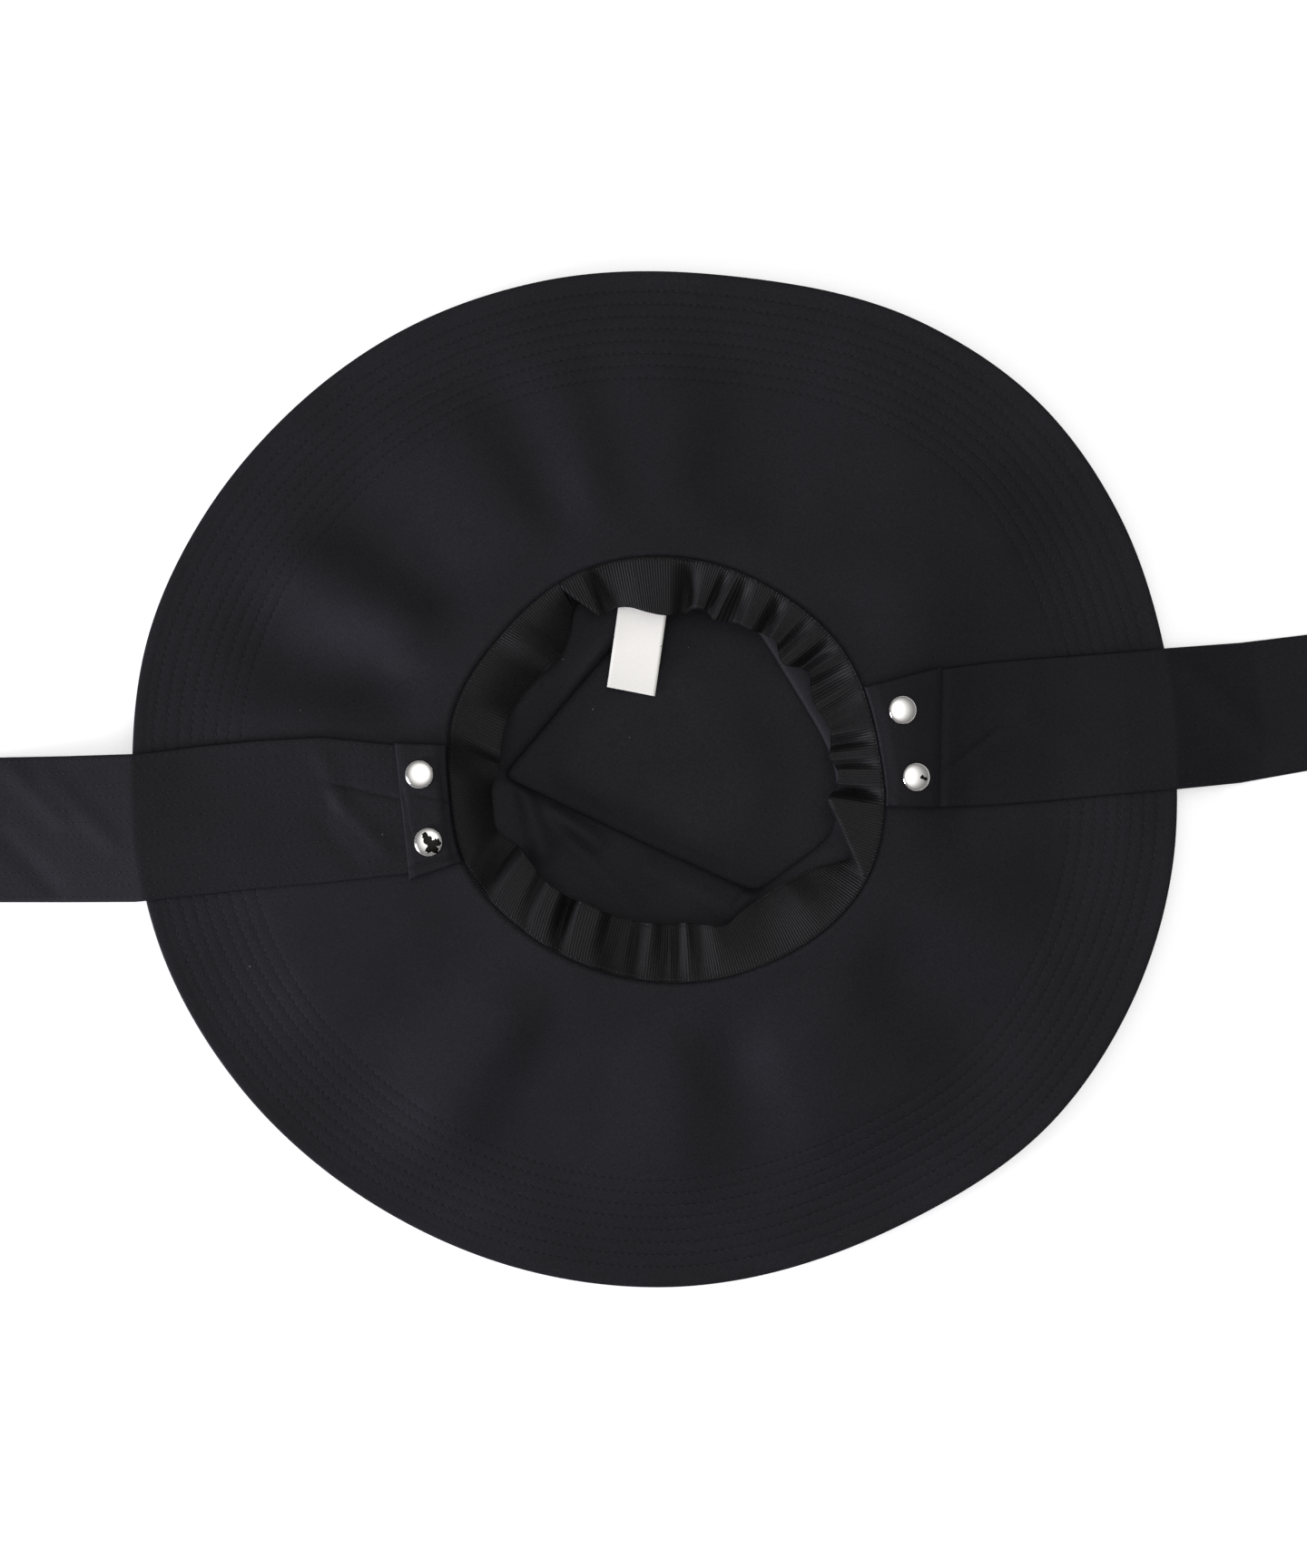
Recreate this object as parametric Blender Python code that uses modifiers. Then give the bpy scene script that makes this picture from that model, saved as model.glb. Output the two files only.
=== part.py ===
"""A wide-brimmed cloth sun hat that lies upside down on its crown, with the head opening up.

The crown has sunk under the brim, so its side is folded in over its flat tip. A gathered
sweatband is sewn into the opening, with a folded label under its edge. On each side a wide
tie lies over the brim, held under a short tab by two snap fasteners.
Metres, +Z up. The origin is on the surface below the middle of the head opening.
"""

import math
from collections import namedtuple

import bmesh
import bpy
import numpy as np
from mathutils import Vector

# Cloth thicknesses, and the gap between pieces that lie on each other
BRIM_THICKNESS = 0.0020
CROWN_THICKNESS = 0.0016
SWEATBAND_THICKNESS = 0.0010
TIE_THICKNESS = 0.0020
TAB_THICKNESS = 0.0018
LABEL_THICKNESS = 0.0010
GAP = 0.0004

# Head opening: the seam that joins crown, brim and sweatband. Angles are degrees from +X.
SEAM_HEIGHT = 0.0220
SeamRow = namedtuple("SeamRow", "angle radius")
SEAM = [
    SeamRow(5, 0.0909),
    SeamRow(35, 0.0913),
    SeamRow(60, 0.0903),
    SeamRow(80, 0.0915),
    SeamRow(115, 0.0940),
    SeamRow(140, 0.0930),
    SeamRow(167, 0.0960),
    SeamRow(185, 0.0943),
    SeamRow(205, 0.0962),
    SeamRow(225, 0.0932),
    SeamRow(250, 0.0907),
    SeamRow(290, 0.0923),
    SeamRow(335, 0.0968),
    SeamRow(351, 0.0940),
]

# Brim edge: its distance from the middle of the opening, and its height. The sag is how far
# the brim hangs below a straight line from the seam to the edge.
BRIM_SEGMENTS = 72
BRIM_ROWS = 8
EdgeRow = namedtuple("EdgeRow", "angle radius height sag")
BRIM_EDGE = [
    EdgeRow(0, 0.2227, 0.0075, 0.0025),
    EdgeRow(15, 0.2240, 0.0070, 0.0025),
    EdgeRow(30, 0.2272, 0.0085, 0.0020),
    EdgeRow(45, 0.2288, 0.0100, 0.0015),
    EdgeRow(60, 0.2257, 0.0105, 0.0010),
    EdgeRow(82, 0.2186, 0.0100, 0.0010),
    EdgeRow(105, 0.2216, 0.0110, 0.0010),
    EdgeRow(120, 0.2251, 0.0110, 0.0015),
    EdgeRow(140, 0.2289, 0.0130, 0.0020),
    EdgeRow(152, 0.2316, 0.0155, 0.0025),
    EdgeRow(165, 0.2342, 0.0175, 0.0030),
    EdgeRow(180, 0.2336, 0.0180, 0.0035),
    EdgeRow(200, 0.2347, 0.0160, 0.0030),
    EdgeRow(215, 0.2327, 0.0140, 0.0025),
    EdgeRow(240, 0.2284, 0.0110, 0.0015),
    EdgeRow(256, 0.2266, 0.0125, 0.0010),
    EdgeRow(269, 0.2258, 0.0100, 0.0010),
    EdgeRow(298, 0.2231, 0.0095, 0.0010),
    EdgeRow(318, 0.2273, 0.0105, 0.0015),
    EdgeRow(332, 0.2267, 0.0100, 0.0020),
    EdgeRow(350, 0.2245, 0.0085, 0.0025),
]
SAG_DEEPEST = 0.65

# Soft folds of the brim between the opening and the stiff stitched border
FOLDS_START = 0.010
FOLDS_FULL = 0.030
STIFF_BORDER = 0.048
RippleRow = namedtuple("RippleRow", "angle rise")
BRIM_RIPPLES = [
    RippleRow(20, -0.0008),
    RippleRow(38, 0.0015),
    RippleRow(60, -0.0002),
    RippleRow(78, -0.0014),
    RippleRow(89, 0.0006),
    RippleRow(99, -0.0006),
    RippleRow(106, 0.0005),
    RippleRow(113, -0.0010),
    RippleRow(121, 0.0012),
    RippleRow(140, -0.0020),
    RippleRow(150, 0.0020),
    RippleRow(166, -0.0012),
    RippleRow(185, 0.0004),
    RippleRow(200, -0.0014),
    RippleRow(218, 0.0008),
    RippleRow(226, 0.0000),
    RippleRow(238, 0.0022),
    RippleRow(247, -0.0010),
    RippleRow(257, -0.0006),
    RippleRow(271, 0.0012),
    RippleRow(283, -0.0012),
    RippleRow(293, 0.0015),
    RippleRow(306, 0.0016),
    RippleRow(319, -0.0016),
    RippleRow(333, 0.0003),
    RippleRow(346, -0.0008),
]

# Crown tip: the flat top of the crown, which the hat lies on
TIP_RADIUS = 0.0825
TIP_CENTRE = Vector((0.001, 0.003))
TIP_THICKNESS = 0.0018
TIP_SEGMENTS = 48

# Folds of the crown side over the tip. Each folded edge runs straight, at this angle and
# distance from the middle, and the exponent rounds the corners where two of them meet.
CreaseRow = namedtuple("CreaseRow", "angle distance")
CREASES = [
    CreaseRow(31.4, 0.0655),
    CreaseRow(83.9, 0.0712),
    CreaseRow(139.5, 0.0537),
    CreaseRow(245.2, 0.0325),
    CreaseRow(305.9, 0.0650),
    CreaseRow(359.2, 0.0739),
]
CORNER_ROUNDING = 16

# Section of the crown side, from the seam to the tip. The share goes from the folded edge
# at 0 to the seam at 1 above the fold, and to the rim of the tip at 1 below it.
CROWN_SEGMENTS = 72
FOLD_DEPTH = 0.0024
BELLY = 0.008
BELLY_FROM = 0.045
BELLY_FULL = 0.065
WALL_INSET = 0.0009
SectionRow = namedtuple("SectionRow", "share height belly")
ABOVE_FOLD = [
    SectionRow(1.00, 0.0212, 0.0),
    SectionRow(0.99, 0.0178, 0.2),
    SectionRow(0.93, 0.0138, 0.9),
    SectionRow(0.78, 0.0104, 0.7),
    SectionRow(0.40, 0.0088, 0.0),
]
CREASE_TOP_HEIGHT = 0.0080
CREASE_HEIGHT = 0.0056
CREASE_FOOT_HEIGHT = 0.0032
RIM_HEIGHT = 0.0030

# Sweatband: a gathered ribbon from the seam to its loose inner edge
SWEATBAND_SEGMENTS = 120
SWEATBAND_ROWS = 3
SWEATBAND_OVERLAP = 0.0004
SWEATBAND_EDGE_HEIGHT = 0.0145
GatherRow = namedtuple("GatherRow", "angle radius rise")
GATHERS = [
    GatherRow(5, 0.0701, 0.0022),
    GatherRow(10, 0.0718, -0.0012),
    GatherRow(15, 0.0731, 0.0022),
    GatherRow(20, 0.0724, -0.0012),
    GatherRow(26, 0.0703, 0.0026),
    GatherRow(33, 0.0741, 0.0012),
    GatherRow(38, 0.0744, -0.0026),
    GatherRow(43, 0.0683, 0.0028),
    GatherRow(47, 0.0708, -0.0016),
    GatherRow(52, 0.0723, 0.0020),
    GatherRow(57, 0.0719, -0.0018),
    GatherRow(62, 0.0706, 0.0024),
    GatherRow(68, 0.0710, -0.0018),
    GatherRow(75, 0.0690, 0.0024),
    GatherRow(84, 0.0730, -0.0028),
    GatherRow(93, 0.0682, 0.0024),
    GatherRow(103, 0.0750, 0.0000),
    GatherRow(110, 0.0752, -0.0026),
    GatherRow(115, 0.0750, 0.0020),
    GatherRow(120, 0.0840, -0.0006),
    GatherRow(126, 0.0740, -0.0014),
    GatherRow(139, 0.0698, 0.0014),
    GatherRow(155, 0.0716, -0.0008),
    GatherRow(167, 0.0740, 0.0026),
    GatherRow(188, 0.0750, -0.0016),
    GatherRow(217, 0.0728, 0.0018),
    GatherRow(222, 0.0730, -0.0010),
    GatherRow(228, 0.0724, 0.0018),
    GatherRow(233, 0.0714, -0.0022),
    GatherRow(242, 0.0667, 0.0028),
    GatherRow(251, 0.0696, -0.0022),
    GatherRow(264, 0.0663, 0.0020),
    GatherRow(271, 0.0673, -0.0014),
    GatherRow(280, 0.0667, 0.0028),
    GatherRow(289, 0.0708, -0.0028),
    GatherRow(301, 0.0690, 0.0008),
    GatherRow(309, 0.0698, 0.0022),
    GatherRow(318, 0.0734, -0.0010),
    GatherRow(325, 0.0795, -0.0004),
    GatherRow(331, 0.0855, 0.0000),
    GatherRow(336, 0.0795, 0.0012),
    GatherRow(342, 0.0745, 0.0028),
    GatherRow(348, 0.0708, 0.0020),
    GatherRow(353, 0.0720, -0.0026),
    GatherRow(359, 0.0734, 0.0018),
]

# Tabs: each starts along the seam between two angles and ends on a straight outer edge
TAB_SEAM_GAP = 0.0014
TAB_ROWS = 6
TAB_COLUMNS = 8
TabSize = namedtuple("TabSize", "seam_lower seam_upper outer_lower outer_upper")
TABS = {
    "left": TabSize(203.8, 173.0, Vector((-0.1124, -0.0472)), Vector((-0.1188, 0.0126))),
    "right": TabSize(-9.1, 23.5, Vector((0.1173, -0.0157)), Vector((0.1189, 0.0456))),
}

# Ties: each starts under its tab and has its two edges at these places along X. Past the
# brim it comes down to the surface over its drop, steeply at first.
TIE_INNER_END = 0.0075
TIE_INSET_SHARE = 0.01
TIE_STEPS = 34
TIE_COLUMNS = 5
TIE_DROP_START = 0.003
TIE_DROP = {"left": 0.065, "right": 0.040}
TIE_DROP_CURVE = 1.6
TieRow = namedtuple("TieRow", "x lower upper")
TIES = {
    "left": [
        TieRow(-0.1200, -0.0453, 0.0119),
        TieRow(-0.1510, -0.0488, 0.0151),
        TieRow(-0.1780, -0.0511, 0.0136),
        TieRow(-0.2050, -0.0541, 0.0111),
        TieRow(-0.2320, -0.0569, 0.0076),
        TieRow(-0.2640, -0.0573, 0.0067),
        TieRow(-0.3150, -0.0576, 0.0058),
    ],
    "right": [
        TieRow(0.1180, -0.0156, 0.0446),
        TieRow(0.1410, -0.0149, 0.0478),
        TieRow(0.1630, -0.0134, 0.0497),
        TieRow(0.1890, -0.0108, 0.0516),
        TieRow(0.2180, -0.0083, 0.0540),
        TieRow(0.2510, -0.0051, 0.0566),
        TieRow(0.3020, 0.0040, 0.0628),
    ],
}

# Snap fasteners: a domed cap on the tab, and a post through tab and tie to a flat foot
CAP_RADIUS = 0.00625
CAP_RISE = 0.0023
CAP_RIM = 0.0005
POST_RADIUS = 0.0020
POST_HOLE_RADIUS = 0.0026
FOOT_RADIUS = 0.0045
FOOT_THICKNESS = 0.0007
SNAP_STEPS = 16
CAP_ARC_STEPS = 4
SNAPS = {
    "snap_left_upper": ("left", Vector((-0.1079, -0.0014))),
    "snap_left_lower": ("left", Vector((-0.1040, -0.0306))),
    "snap_right_upper": ("right", Vector((0.1012, 0.0265))),
    "snap_right_lower": ("right", Vector((0.1071, -0.0025))),
}

# Label: a folded strip that comes out from under the sweatband and lies over the tip
LABEL_WIDTH = 0.0214
LABEL_TILT = -11.0
LabelRow = namedtuple("LabelRow", "x y height")
LABEL = [
    LabelRow(-0.0104, 0.0778, 0.0152),
    LabelRow(-0.0115, 0.0700, 0.0114),
    LabelRow(-0.0129, 0.0600, 0.0106),
    LabelRow(-0.0143, 0.0500, 0.0079),
    LabelRow(-0.0156, 0.0410, 0.0050),
    LabelRow(-0.0165, 0.0350, 0.0034),
]
LABEL_COLUMNS = 2

# Layers above the brim where a tie is fastened, in the order in which they lie
TIE_LIFT = GAP + FOOT_THICKNESS + GAP
TAB_LIFT_INNER = GAP
TAB_LIFT = TIE_LIFT + TIE_THICKNESS + 1.5 * GAP
TAB_RAMP = 0.0052
TIE_SETTLES_FROM = 0.030
TIE_SETTLES_OVER = 0.040

# Colours, as linear red, green and blue
BRIM_CLOTH = (0.0176, 0.0172, 0.0200)
CROWN_CLOTH = (0.0168, 0.0165, 0.0190)
RIBBON_CLOTH = (0.0160, 0.0160, 0.0166)
TIE_CLOTH = (0.0172, 0.0168, 0.0198)
LABEL_CLOTH = (0.88, 0.87, 0.84)
CHROME = (0.62, 0.61, 0.60)
FINISHES = {
    "brim": (BRIM_CLOTH, 0.85, 0.0),
    "crown_side": (CROWN_CLOTH, 0.85, 0.0),
    "crown_tip": (CROWN_CLOTH, 0.85, 0.0),
    "sweatband": (RIBBON_CLOTH, 0.60, 0.0),
    "label": (LABEL_CLOTH, 0.70, 0.0),
    "tab": (TIE_CLOTH, 0.85, 0.0),
    "tie": (TIE_CLOTH, 0.85, 0.0),
    "snap": (CHROME, 0.12, 1.0),
}


def smooth_step(value):
    """0 below 0, 1 above 1, and an even S-shaped rise between them."""
    share = np.clip(value, 0, 1)
    return share * share * (3 - 2 * share)


def around(rows, column):
    """A smooth closed curve through one column of a table whose rows go once round the hat."""
    angles = np.array([row.angle for row in rows], float)
    values = np.array([getattr(row, column) for row in rows], float)
    angles = np.concatenate([angles[-2:] - 360, angles, angles[:2] + 360])
    values = np.concatenate([values[-2:], values, values[:2]])
    slopes = np.gradient(values, angles)

    def curve(angle):
        place = np.mod(angle, 360)
        after = np.searchsorted(angles, place, side="right")
        before = after - 1
        width = angles[after] - angles[before]
        share = (place - angles[before]) / width
        ease = smooth_step(share)
        bend = slopes[before] * (1 - share) - slopes[after] * share
        return values[before] * (1 - ease) + values[after] * ease + bend * width * share * (1 - share)

    return curve


seam_radius = around(SEAM, "radius")
edge_radius = around(BRIM_EDGE, "radius")
edge_height = around(BRIM_EDGE, "height")
brim_sag = around(BRIM_EDGE, "sag")
brim_ripple = around(BRIM_RIPPLES, "rise")
gather_radius = around(GATHERS, "radius")
gather_rise = around(GATHERS, "rise")


def angle_of(x, y):
    return math.degrees(math.atan2(y, x))


def direction(angle):
    return Vector((math.cos(math.radians(angle)), math.sin(math.radians(angle))))


def brim_height(angle, radius):
    """Height of the middle of the brim's cloth: a sagging slope with soft folds in it."""
    seam = seam_radius(angle)
    edge = edge_radius(angle)
    out = float(np.clip((radius - seam) / (edge - seam), 0, 1))
    sag = brim_sag(angle) * math.sin(math.pi * out ** (math.log(0.5) / math.log(SAG_DEEPEST)))
    slope = SEAM_HEIGHT + (edge_height(angle) - SEAM_HEIGHT) * out - sag
    near_seam = smooth_step((radius - seam - FOLDS_START) / FOLDS_FULL)
    near_border = smooth_step((edge - STIFF_BORDER / 2 - radius) / STIFF_BORDER)
    return slope + brim_ripple(angle) * near_seam * near_border


def brim_top(x, y):
    return brim_height(angle_of(x, y), math.hypot(x, y)) + BRIM_THICKNESS / 2


def tie_height(side, x, y):
    """Middle of a tie: fastened above the brim, then resting on it, then down to the surface."""
    angle = angle_of(x, y)
    radius = math.hypot(x, y)
    settled = smooth_step((radius - seam_radius(angle) - TIE_SETTLES_FROM) / TIE_SETTLES_OVER)
    lift = TIE_LIFT + (2 * GAP - TIE_LIFT) * settled
    past_brim = (radius - edge_radius(angle) - TIE_DROP_START) / TIE_DROP[side]
    left_over = (1 - np.clip(past_brim, 0, 1)) ** TIE_DROP_CURVE
    return (brim_top(x, y) + lift) * left_over + TIE_THICKNESS / 2


def tab_height(x, y):
    """Middle of a tab: on the brim at the seam, then up over the end of the tie."""
    from_seam = math.hypot(x, y) - seam_radius(angle_of(x, y)) - TAB_SEAM_GAP
    lift = TAB_LIFT_INNER + (TAB_LIFT - TAB_LIFT_INNER) * smooth_step(from_seam / TAB_RAMP)
    return brim_top(x, y) + lift + TAB_THICKNESS / 2


def crease_radius(angle):
    """Distance to the folded edges: the nearest straight one, with rounded corners."""
    total = 0
    for crease in CREASES:
        facing = math.cos(math.radians(angle - crease.angle))
        if facing > 0:
            total += (facing / crease.distance) ** CORNER_ROUNDING
    return total ** (-1 / CORNER_ROUNDING)


def rim_radius(angle):
    """Distance from the middle of the opening to the rim of the crown's tip."""
    way = direction(angle)
    along = TIP_CENTRE.dot(way)
    aside = TIP_CENTRE.cross(way)
    return along + math.sqrt(TIP_RADIUS**2 - aside**2)


def crown_section(angle):
    """(radius, height) pairs of the crown side's section, from the seam to the tip's rim."""
    seam = seam_radius(angle) - WALL_INSET
    crease = crease_radius(angle)
    belly = BELLY * smooth_step((crease - BELLY_FROM) / (BELLY_FULL - BELLY_FROM))
    section = []
    for row in ABOVE_FOLD:
        section.append((crease + row.share * (seam - crease) + row.belly * belly, row.height))
    section.append((crease + FOLD_DEPTH, CREASE_TOP_HEIGHT))
    section.append((crease, CREASE_HEIGHT))
    section.append((crease + FOLD_DEPTH, CREASE_FOOT_HEIGHT))
    section.append((rim_radius(angle), RIM_HEIGHT))
    return section


def clear_scene():
    for item in list(bpy.data.objects):
        bpy.data.objects.remove(item)


def new_collection(name):
    collection = bpy.data.collections.new(name)
    bpy.context.scene.collection.children.link(collection)
    return collection


def new_material(name):
    colour, roughness, metallic = FINISHES[name]
    material = bpy.data.materials.new(name)
    material.use_nodes = True
    shader = material.node_tree.nodes["Principled BSDF"]
    shader.inputs["Base Color"].default_value = (*colour, 1)
    shader.inputs["Roughness"].default_value = roughness
    shader.inputs["Metallic"].default_value = metallic
    return material


def new_piece(name, shape, finish):
    """An object made from a bmesh, which is freed here."""
    mesh = bpy.data.meshes.new(name)
    shape.to_mesh(mesh)
    shape.free()
    mesh.shade_smooth()
    mesh.materials.append(materials[finish])
    piece = bpy.data.objects.new(name, mesh)
    pieces.objects.link(piece)
    return piece


def thicken(piece, thickness):
    """Cloth: half of its thickness on each side of the sheet."""
    solidify = piece.modifiers.new("cloth", "SOLIDIFY")
    solidify.thickness = thickness
    solidify.offset = 0


def ring_sheet(segments, rows, place):
    """A flat ring spun from a straight line, each point then moved to place(angle, row)."""
    shape = bmesh.new()
    line = [shape.verts.new((1 + row, 0, 0)) for row in range(rows + 1)]
    edges = [shape.edges.new(pair) for pair in zip(line, line[1:])]
    bmesh.ops.spin(
        shape,
        geom=line + edges,
        axis=(0, 0, 1),
        angle=math.tau,
        steps=segments,
        use_merge=True,
    )
    for vert in shape.verts:
        row = round(vert.co.xy.length) - 1
        vert.co = place(angle_of(vert.co.x, vert.co.y), row)
    bmesh.ops.recalc_face_normals(shape, faces=shape.faces)
    return shape


def strip_sheet(steps, columns, place):
    """A flat grid, each point then moved to place(along, across), which both go from 0 to 1."""
    shape = bmesh.new()
    bmesh.ops.create_grid(shape, x_segments=steps, y_segments=columns, size=0.5)
    for vert in shape.verts:
        vert.co = place(vert.co.x + 0.5, vert.co.y + 0.5)
    return shape


def brim_point(angle, row):
    seam = seam_radius(angle) + GAP
    radius = seam + (edge_radius(angle) - seam) * row / BRIM_ROWS
    return (*(direction(angle) * radius), brim_height(angle, radius))


def crown_point(angle, row):
    radius, height = crown_section(angle)[row]
    return (*(direction(angle) * radius), height)


def sweatband_point(angle, row):
    in_share = row / SWEATBAND_ROWS
    outer = seam_radius(angle) + SWEATBAND_OVERLAP
    radius = outer + (gather_radius(angle) - outer) * in_share
    outer_height = SEAM_HEIGHT + BRIM_THICKNESS / 2 + GAP + SWEATBAND_THICKNESS / 2
    slope = outer_height + (SWEATBAND_EDGE_HEIGHT - outer_height) * in_share
    return (*(direction(angle) * radius), slope + gather_rise(angle) * in_share)


def make_brim():
    brim = new_piece("brim", ring_sheet(BRIM_SEGMENTS, BRIM_ROWS, brim_point), "brim")
    thicken(brim, BRIM_THICKNESS)


def make_crown_side():
    rows = len(crown_section(0)) - 1
    crown = new_piece("crown_side", ring_sheet(CROWN_SEGMENTS, rows, crown_point), "crown_side")
    thicken(crown, CROWN_THICKNESS)


def make_crown_tip():
    shape = bmesh.new()
    bmesh.ops.create_cone(
        shape,
        cap_ends=True,
        segments=TIP_SEGMENTS,
        radius1=TIP_RADIUS,
        radius2=TIP_RADIUS,
        depth=TIP_THICKNESS,
    )
    tip = new_piece("crown_tip", shape, "crown_tip")
    tip.location = (*TIP_CENTRE, TIP_THICKNESS / 2)
    tip.data.set_sharp_from_angle(angle=math.radians(40))


def make_sweatband():
    shape = ring_sheet(SWEATBAND_SEGMENTS, SWEATBAND_ROWS, sweatband_point)
    sweatband = new_piece("sweatband", shape, "sweatband")
    thicken(sweatband, SWEATBAND_THICKNESS)


def seam_point(size, across, gap):
    """A point along the part of the seam where a tab is sewn in, from its lower to its upper end."""
    angle = size.seam_lower + (size.seam_upper - size.seam_lower) * across
    return direction(angle) * (seam_radius(angle) + gap)


def make_tab(side):
    size = TABS[side]

    def place(along, across):
        inner = seam_point(size, across, TAB_SEAM_GAP)
        outer = size.outer_lower.lerp(size.outer_upper, across)
        point = inner.lerp(outer, along)
        return (*point, tab_height(*point))

    tab = new_piece("tab_" + side, strip_sheet(TAB_COLUMNS, TAB_ROWS, place), "tab")
    thicken(tab, TAB_THICKNESS)
    return tab


def tie_edges(rows, x):
    """Y of both edges of a tie at this place along X."""
    outward = sorted(rows, key=lambda row: row.x)
    stations = [row.x for row in outward]
    lower = np.interp(x, stations, [row.lower for row in outward])
    upper = np.interp(x, stations, [row.upper for row in outward])
    return float(lower), float(upper)


def make_tie(side):
    rows = TIES[side]
    size = TABS[side]

    def place(along, across):
        share = TIE_INSET_SHARE + across * (1 - 2 * TIE_INSET_SHARE)
        inner = seam_point(size, share, TIE_INNER_END)
        tab_end = rows[0].x
        reach = abs(rows[-1].x - inner.x) * along
        x = inner.x + math.copysign(reach, tab_end)
        lower, upper = tie_edges(rows, x)
        under_tab = smooth_step((x - inner.x) / (tab_end - inner.x))
        y = inner.y + (lower + (upper - lower) * across - inner.y) * under_tab
        return (x, y, tie_height(side, x, y))

    tie = new_piece("tie_" + side, strip_sheet(TIE_STEPS, TIE_COLUMNS, place), "tie")
    thicken(tie, TIE_THICKNESS)
    return tie


def snap_profile():
    """Half section of a snap, from the top of its cap down to the underside of its foot."""
    foot_top = TIE_LIFT - GAP - TAB_LIFT - TAB_THICKNESS - GAP
    profile = []
    for step in range(CAP_ARC_STEPS + 1):
        turn = math.pi / 2 * step / CAP_ARC_STEPS
        profile.append((CAP_RADIUS * math.sin(turn), CAP_RIM + CAP_RISE * math.cos(turn)))
    profile += [
        (CAP_RADIUS, 0),
        (POST_RADIUS, 0),
        (POST_RADIUS, foot_top),
        (FOOT_RADIUS, foot_top),
        (FOOT_RADIUS, foot_top - FOOT_THICKNESS),
        (0, foot_top - FOOT_THICKNESS),
    ]
    return profile


def snap_place(spot):
    """Where a snap's cap sits on its tab, and the turn that lays it on the brim's slope there."""
    x, y = spot
    rise_along_x = brim_top(x + CAP_RADIUS, y) - brim_top(x - CAP_RADIUS, y)
    rise_along_y = brim_top(x, y + CAP_RADIUS) - brim_top(x, y - CAP_RADIUS)
    normal = Vector((-rise_along_x, -rise_along_y, 2 * CAP_RADIUS)).normalized()
    tab_top = Vector((x, y, brim_top(x, y) + TAB_LIFT + TAB_THICKNESS))
    return tab_top + normal * GAP, normal.to_track_quat("Z", "Y")


def make_snap(name, spot):
    shape = bmesh.new()
    line = [shape.verts.new((radius, 0, height)) for radius, height in snap_profile()]
    for pair in zip(line, line[1:]):
        shape.edges.new(pair)
    snap = new_piece(name, shape, "snap")
    screw = snap.modifiers.new("turned", "SCREW")
    screw.steps = SNAP_STEPS
    screw.render_steps = SNAP_STEPS
    screw.use_merge_vertices = True
    screw.merge_threshold = 0.00001
    snap.location, rotation = snap_place(spot)
    snap.rotation_euler = rotation.to_euler()


def cut_post_hole(piece, name, spot):
    shape = bmesh.new()
    bmesh.ops.create_cone(
        shape,
        cap_ends=True,
        segments=SNAP_STEPS,
        radius1=POST_HOLE_RADIUS,
        radius2=POST_HOLE_RADIUS,
        depth=4 * TAB_LIFT,
    )
    mesh = bpy.data.meshes.new("hole_" + name)
    shape.to_mesh(mesh)
    shape.free()
    cutter = bpy.data.objects.new("hole_" + name, mesh)
    cutter.location, rotation = snap_place(spot)
    cutter.rotation_euler = rotation.to_euler()
    cutter.hide_render = True
    cutter.display_type = "WIRE"
    cutters.objects.link(cutter)
    hole = piece.modifiers.new("hole " + name, "BOOLEAN")
    hole.operation = "DIFFERENCE"
    hole.object = cutter


def make_label():
    def place(along, across):
        stations = np.linspace(0, 1, len(LABEL))
        x = np.interp(along, stations, [row.x for row in LABEL])
        y = np.interp(along, stations, [row.y for row in LABEL])
        height = np.interp(along, stations, [row.height for row in LABEL])
        aside = direction(LABEL_TILT) * LABEL_WIDTH * (across - 0.5)
        return (x + aside.x, y + aside.y, height)

    label = new_piece("label", strip_sheet(len(LABEL) - 1, LABEL_COLUMNS, place), "label")
    thicken(label, LABEL_THICKNESS)


clear_scene()
pieces = new_collection("sun_hat")
cutters = new_collection("cutters")
materials = {name: new_material(name) for name in FINISHES}

make_brim()
make_crown_side()
make_crown_tip()
make_sweatband()
make_label()
held = {}
for side in TABS:
    held[side] = (make_tab(side), make_tie(side))
for name, (side, spot) in SNAPS.items():
    make_snap(name, spot)
    for piece in held[side]:
        cut_post_hole(piece, f"{name}_in_{piece.name}", spot)
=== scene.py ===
"""The sun hat in full detail, lying upside down on a white floor under soft light from the left.

Each cloth piece is a closed shell: a grid of points through the middle of the cloth, with a
front and a back surface at its half thickness plus the relief of stitches, ribs and creases.
Metres, in the frame of the part. Angles are degrees from +X about the head opening.
"""

import math
from collections import namedtuple

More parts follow.
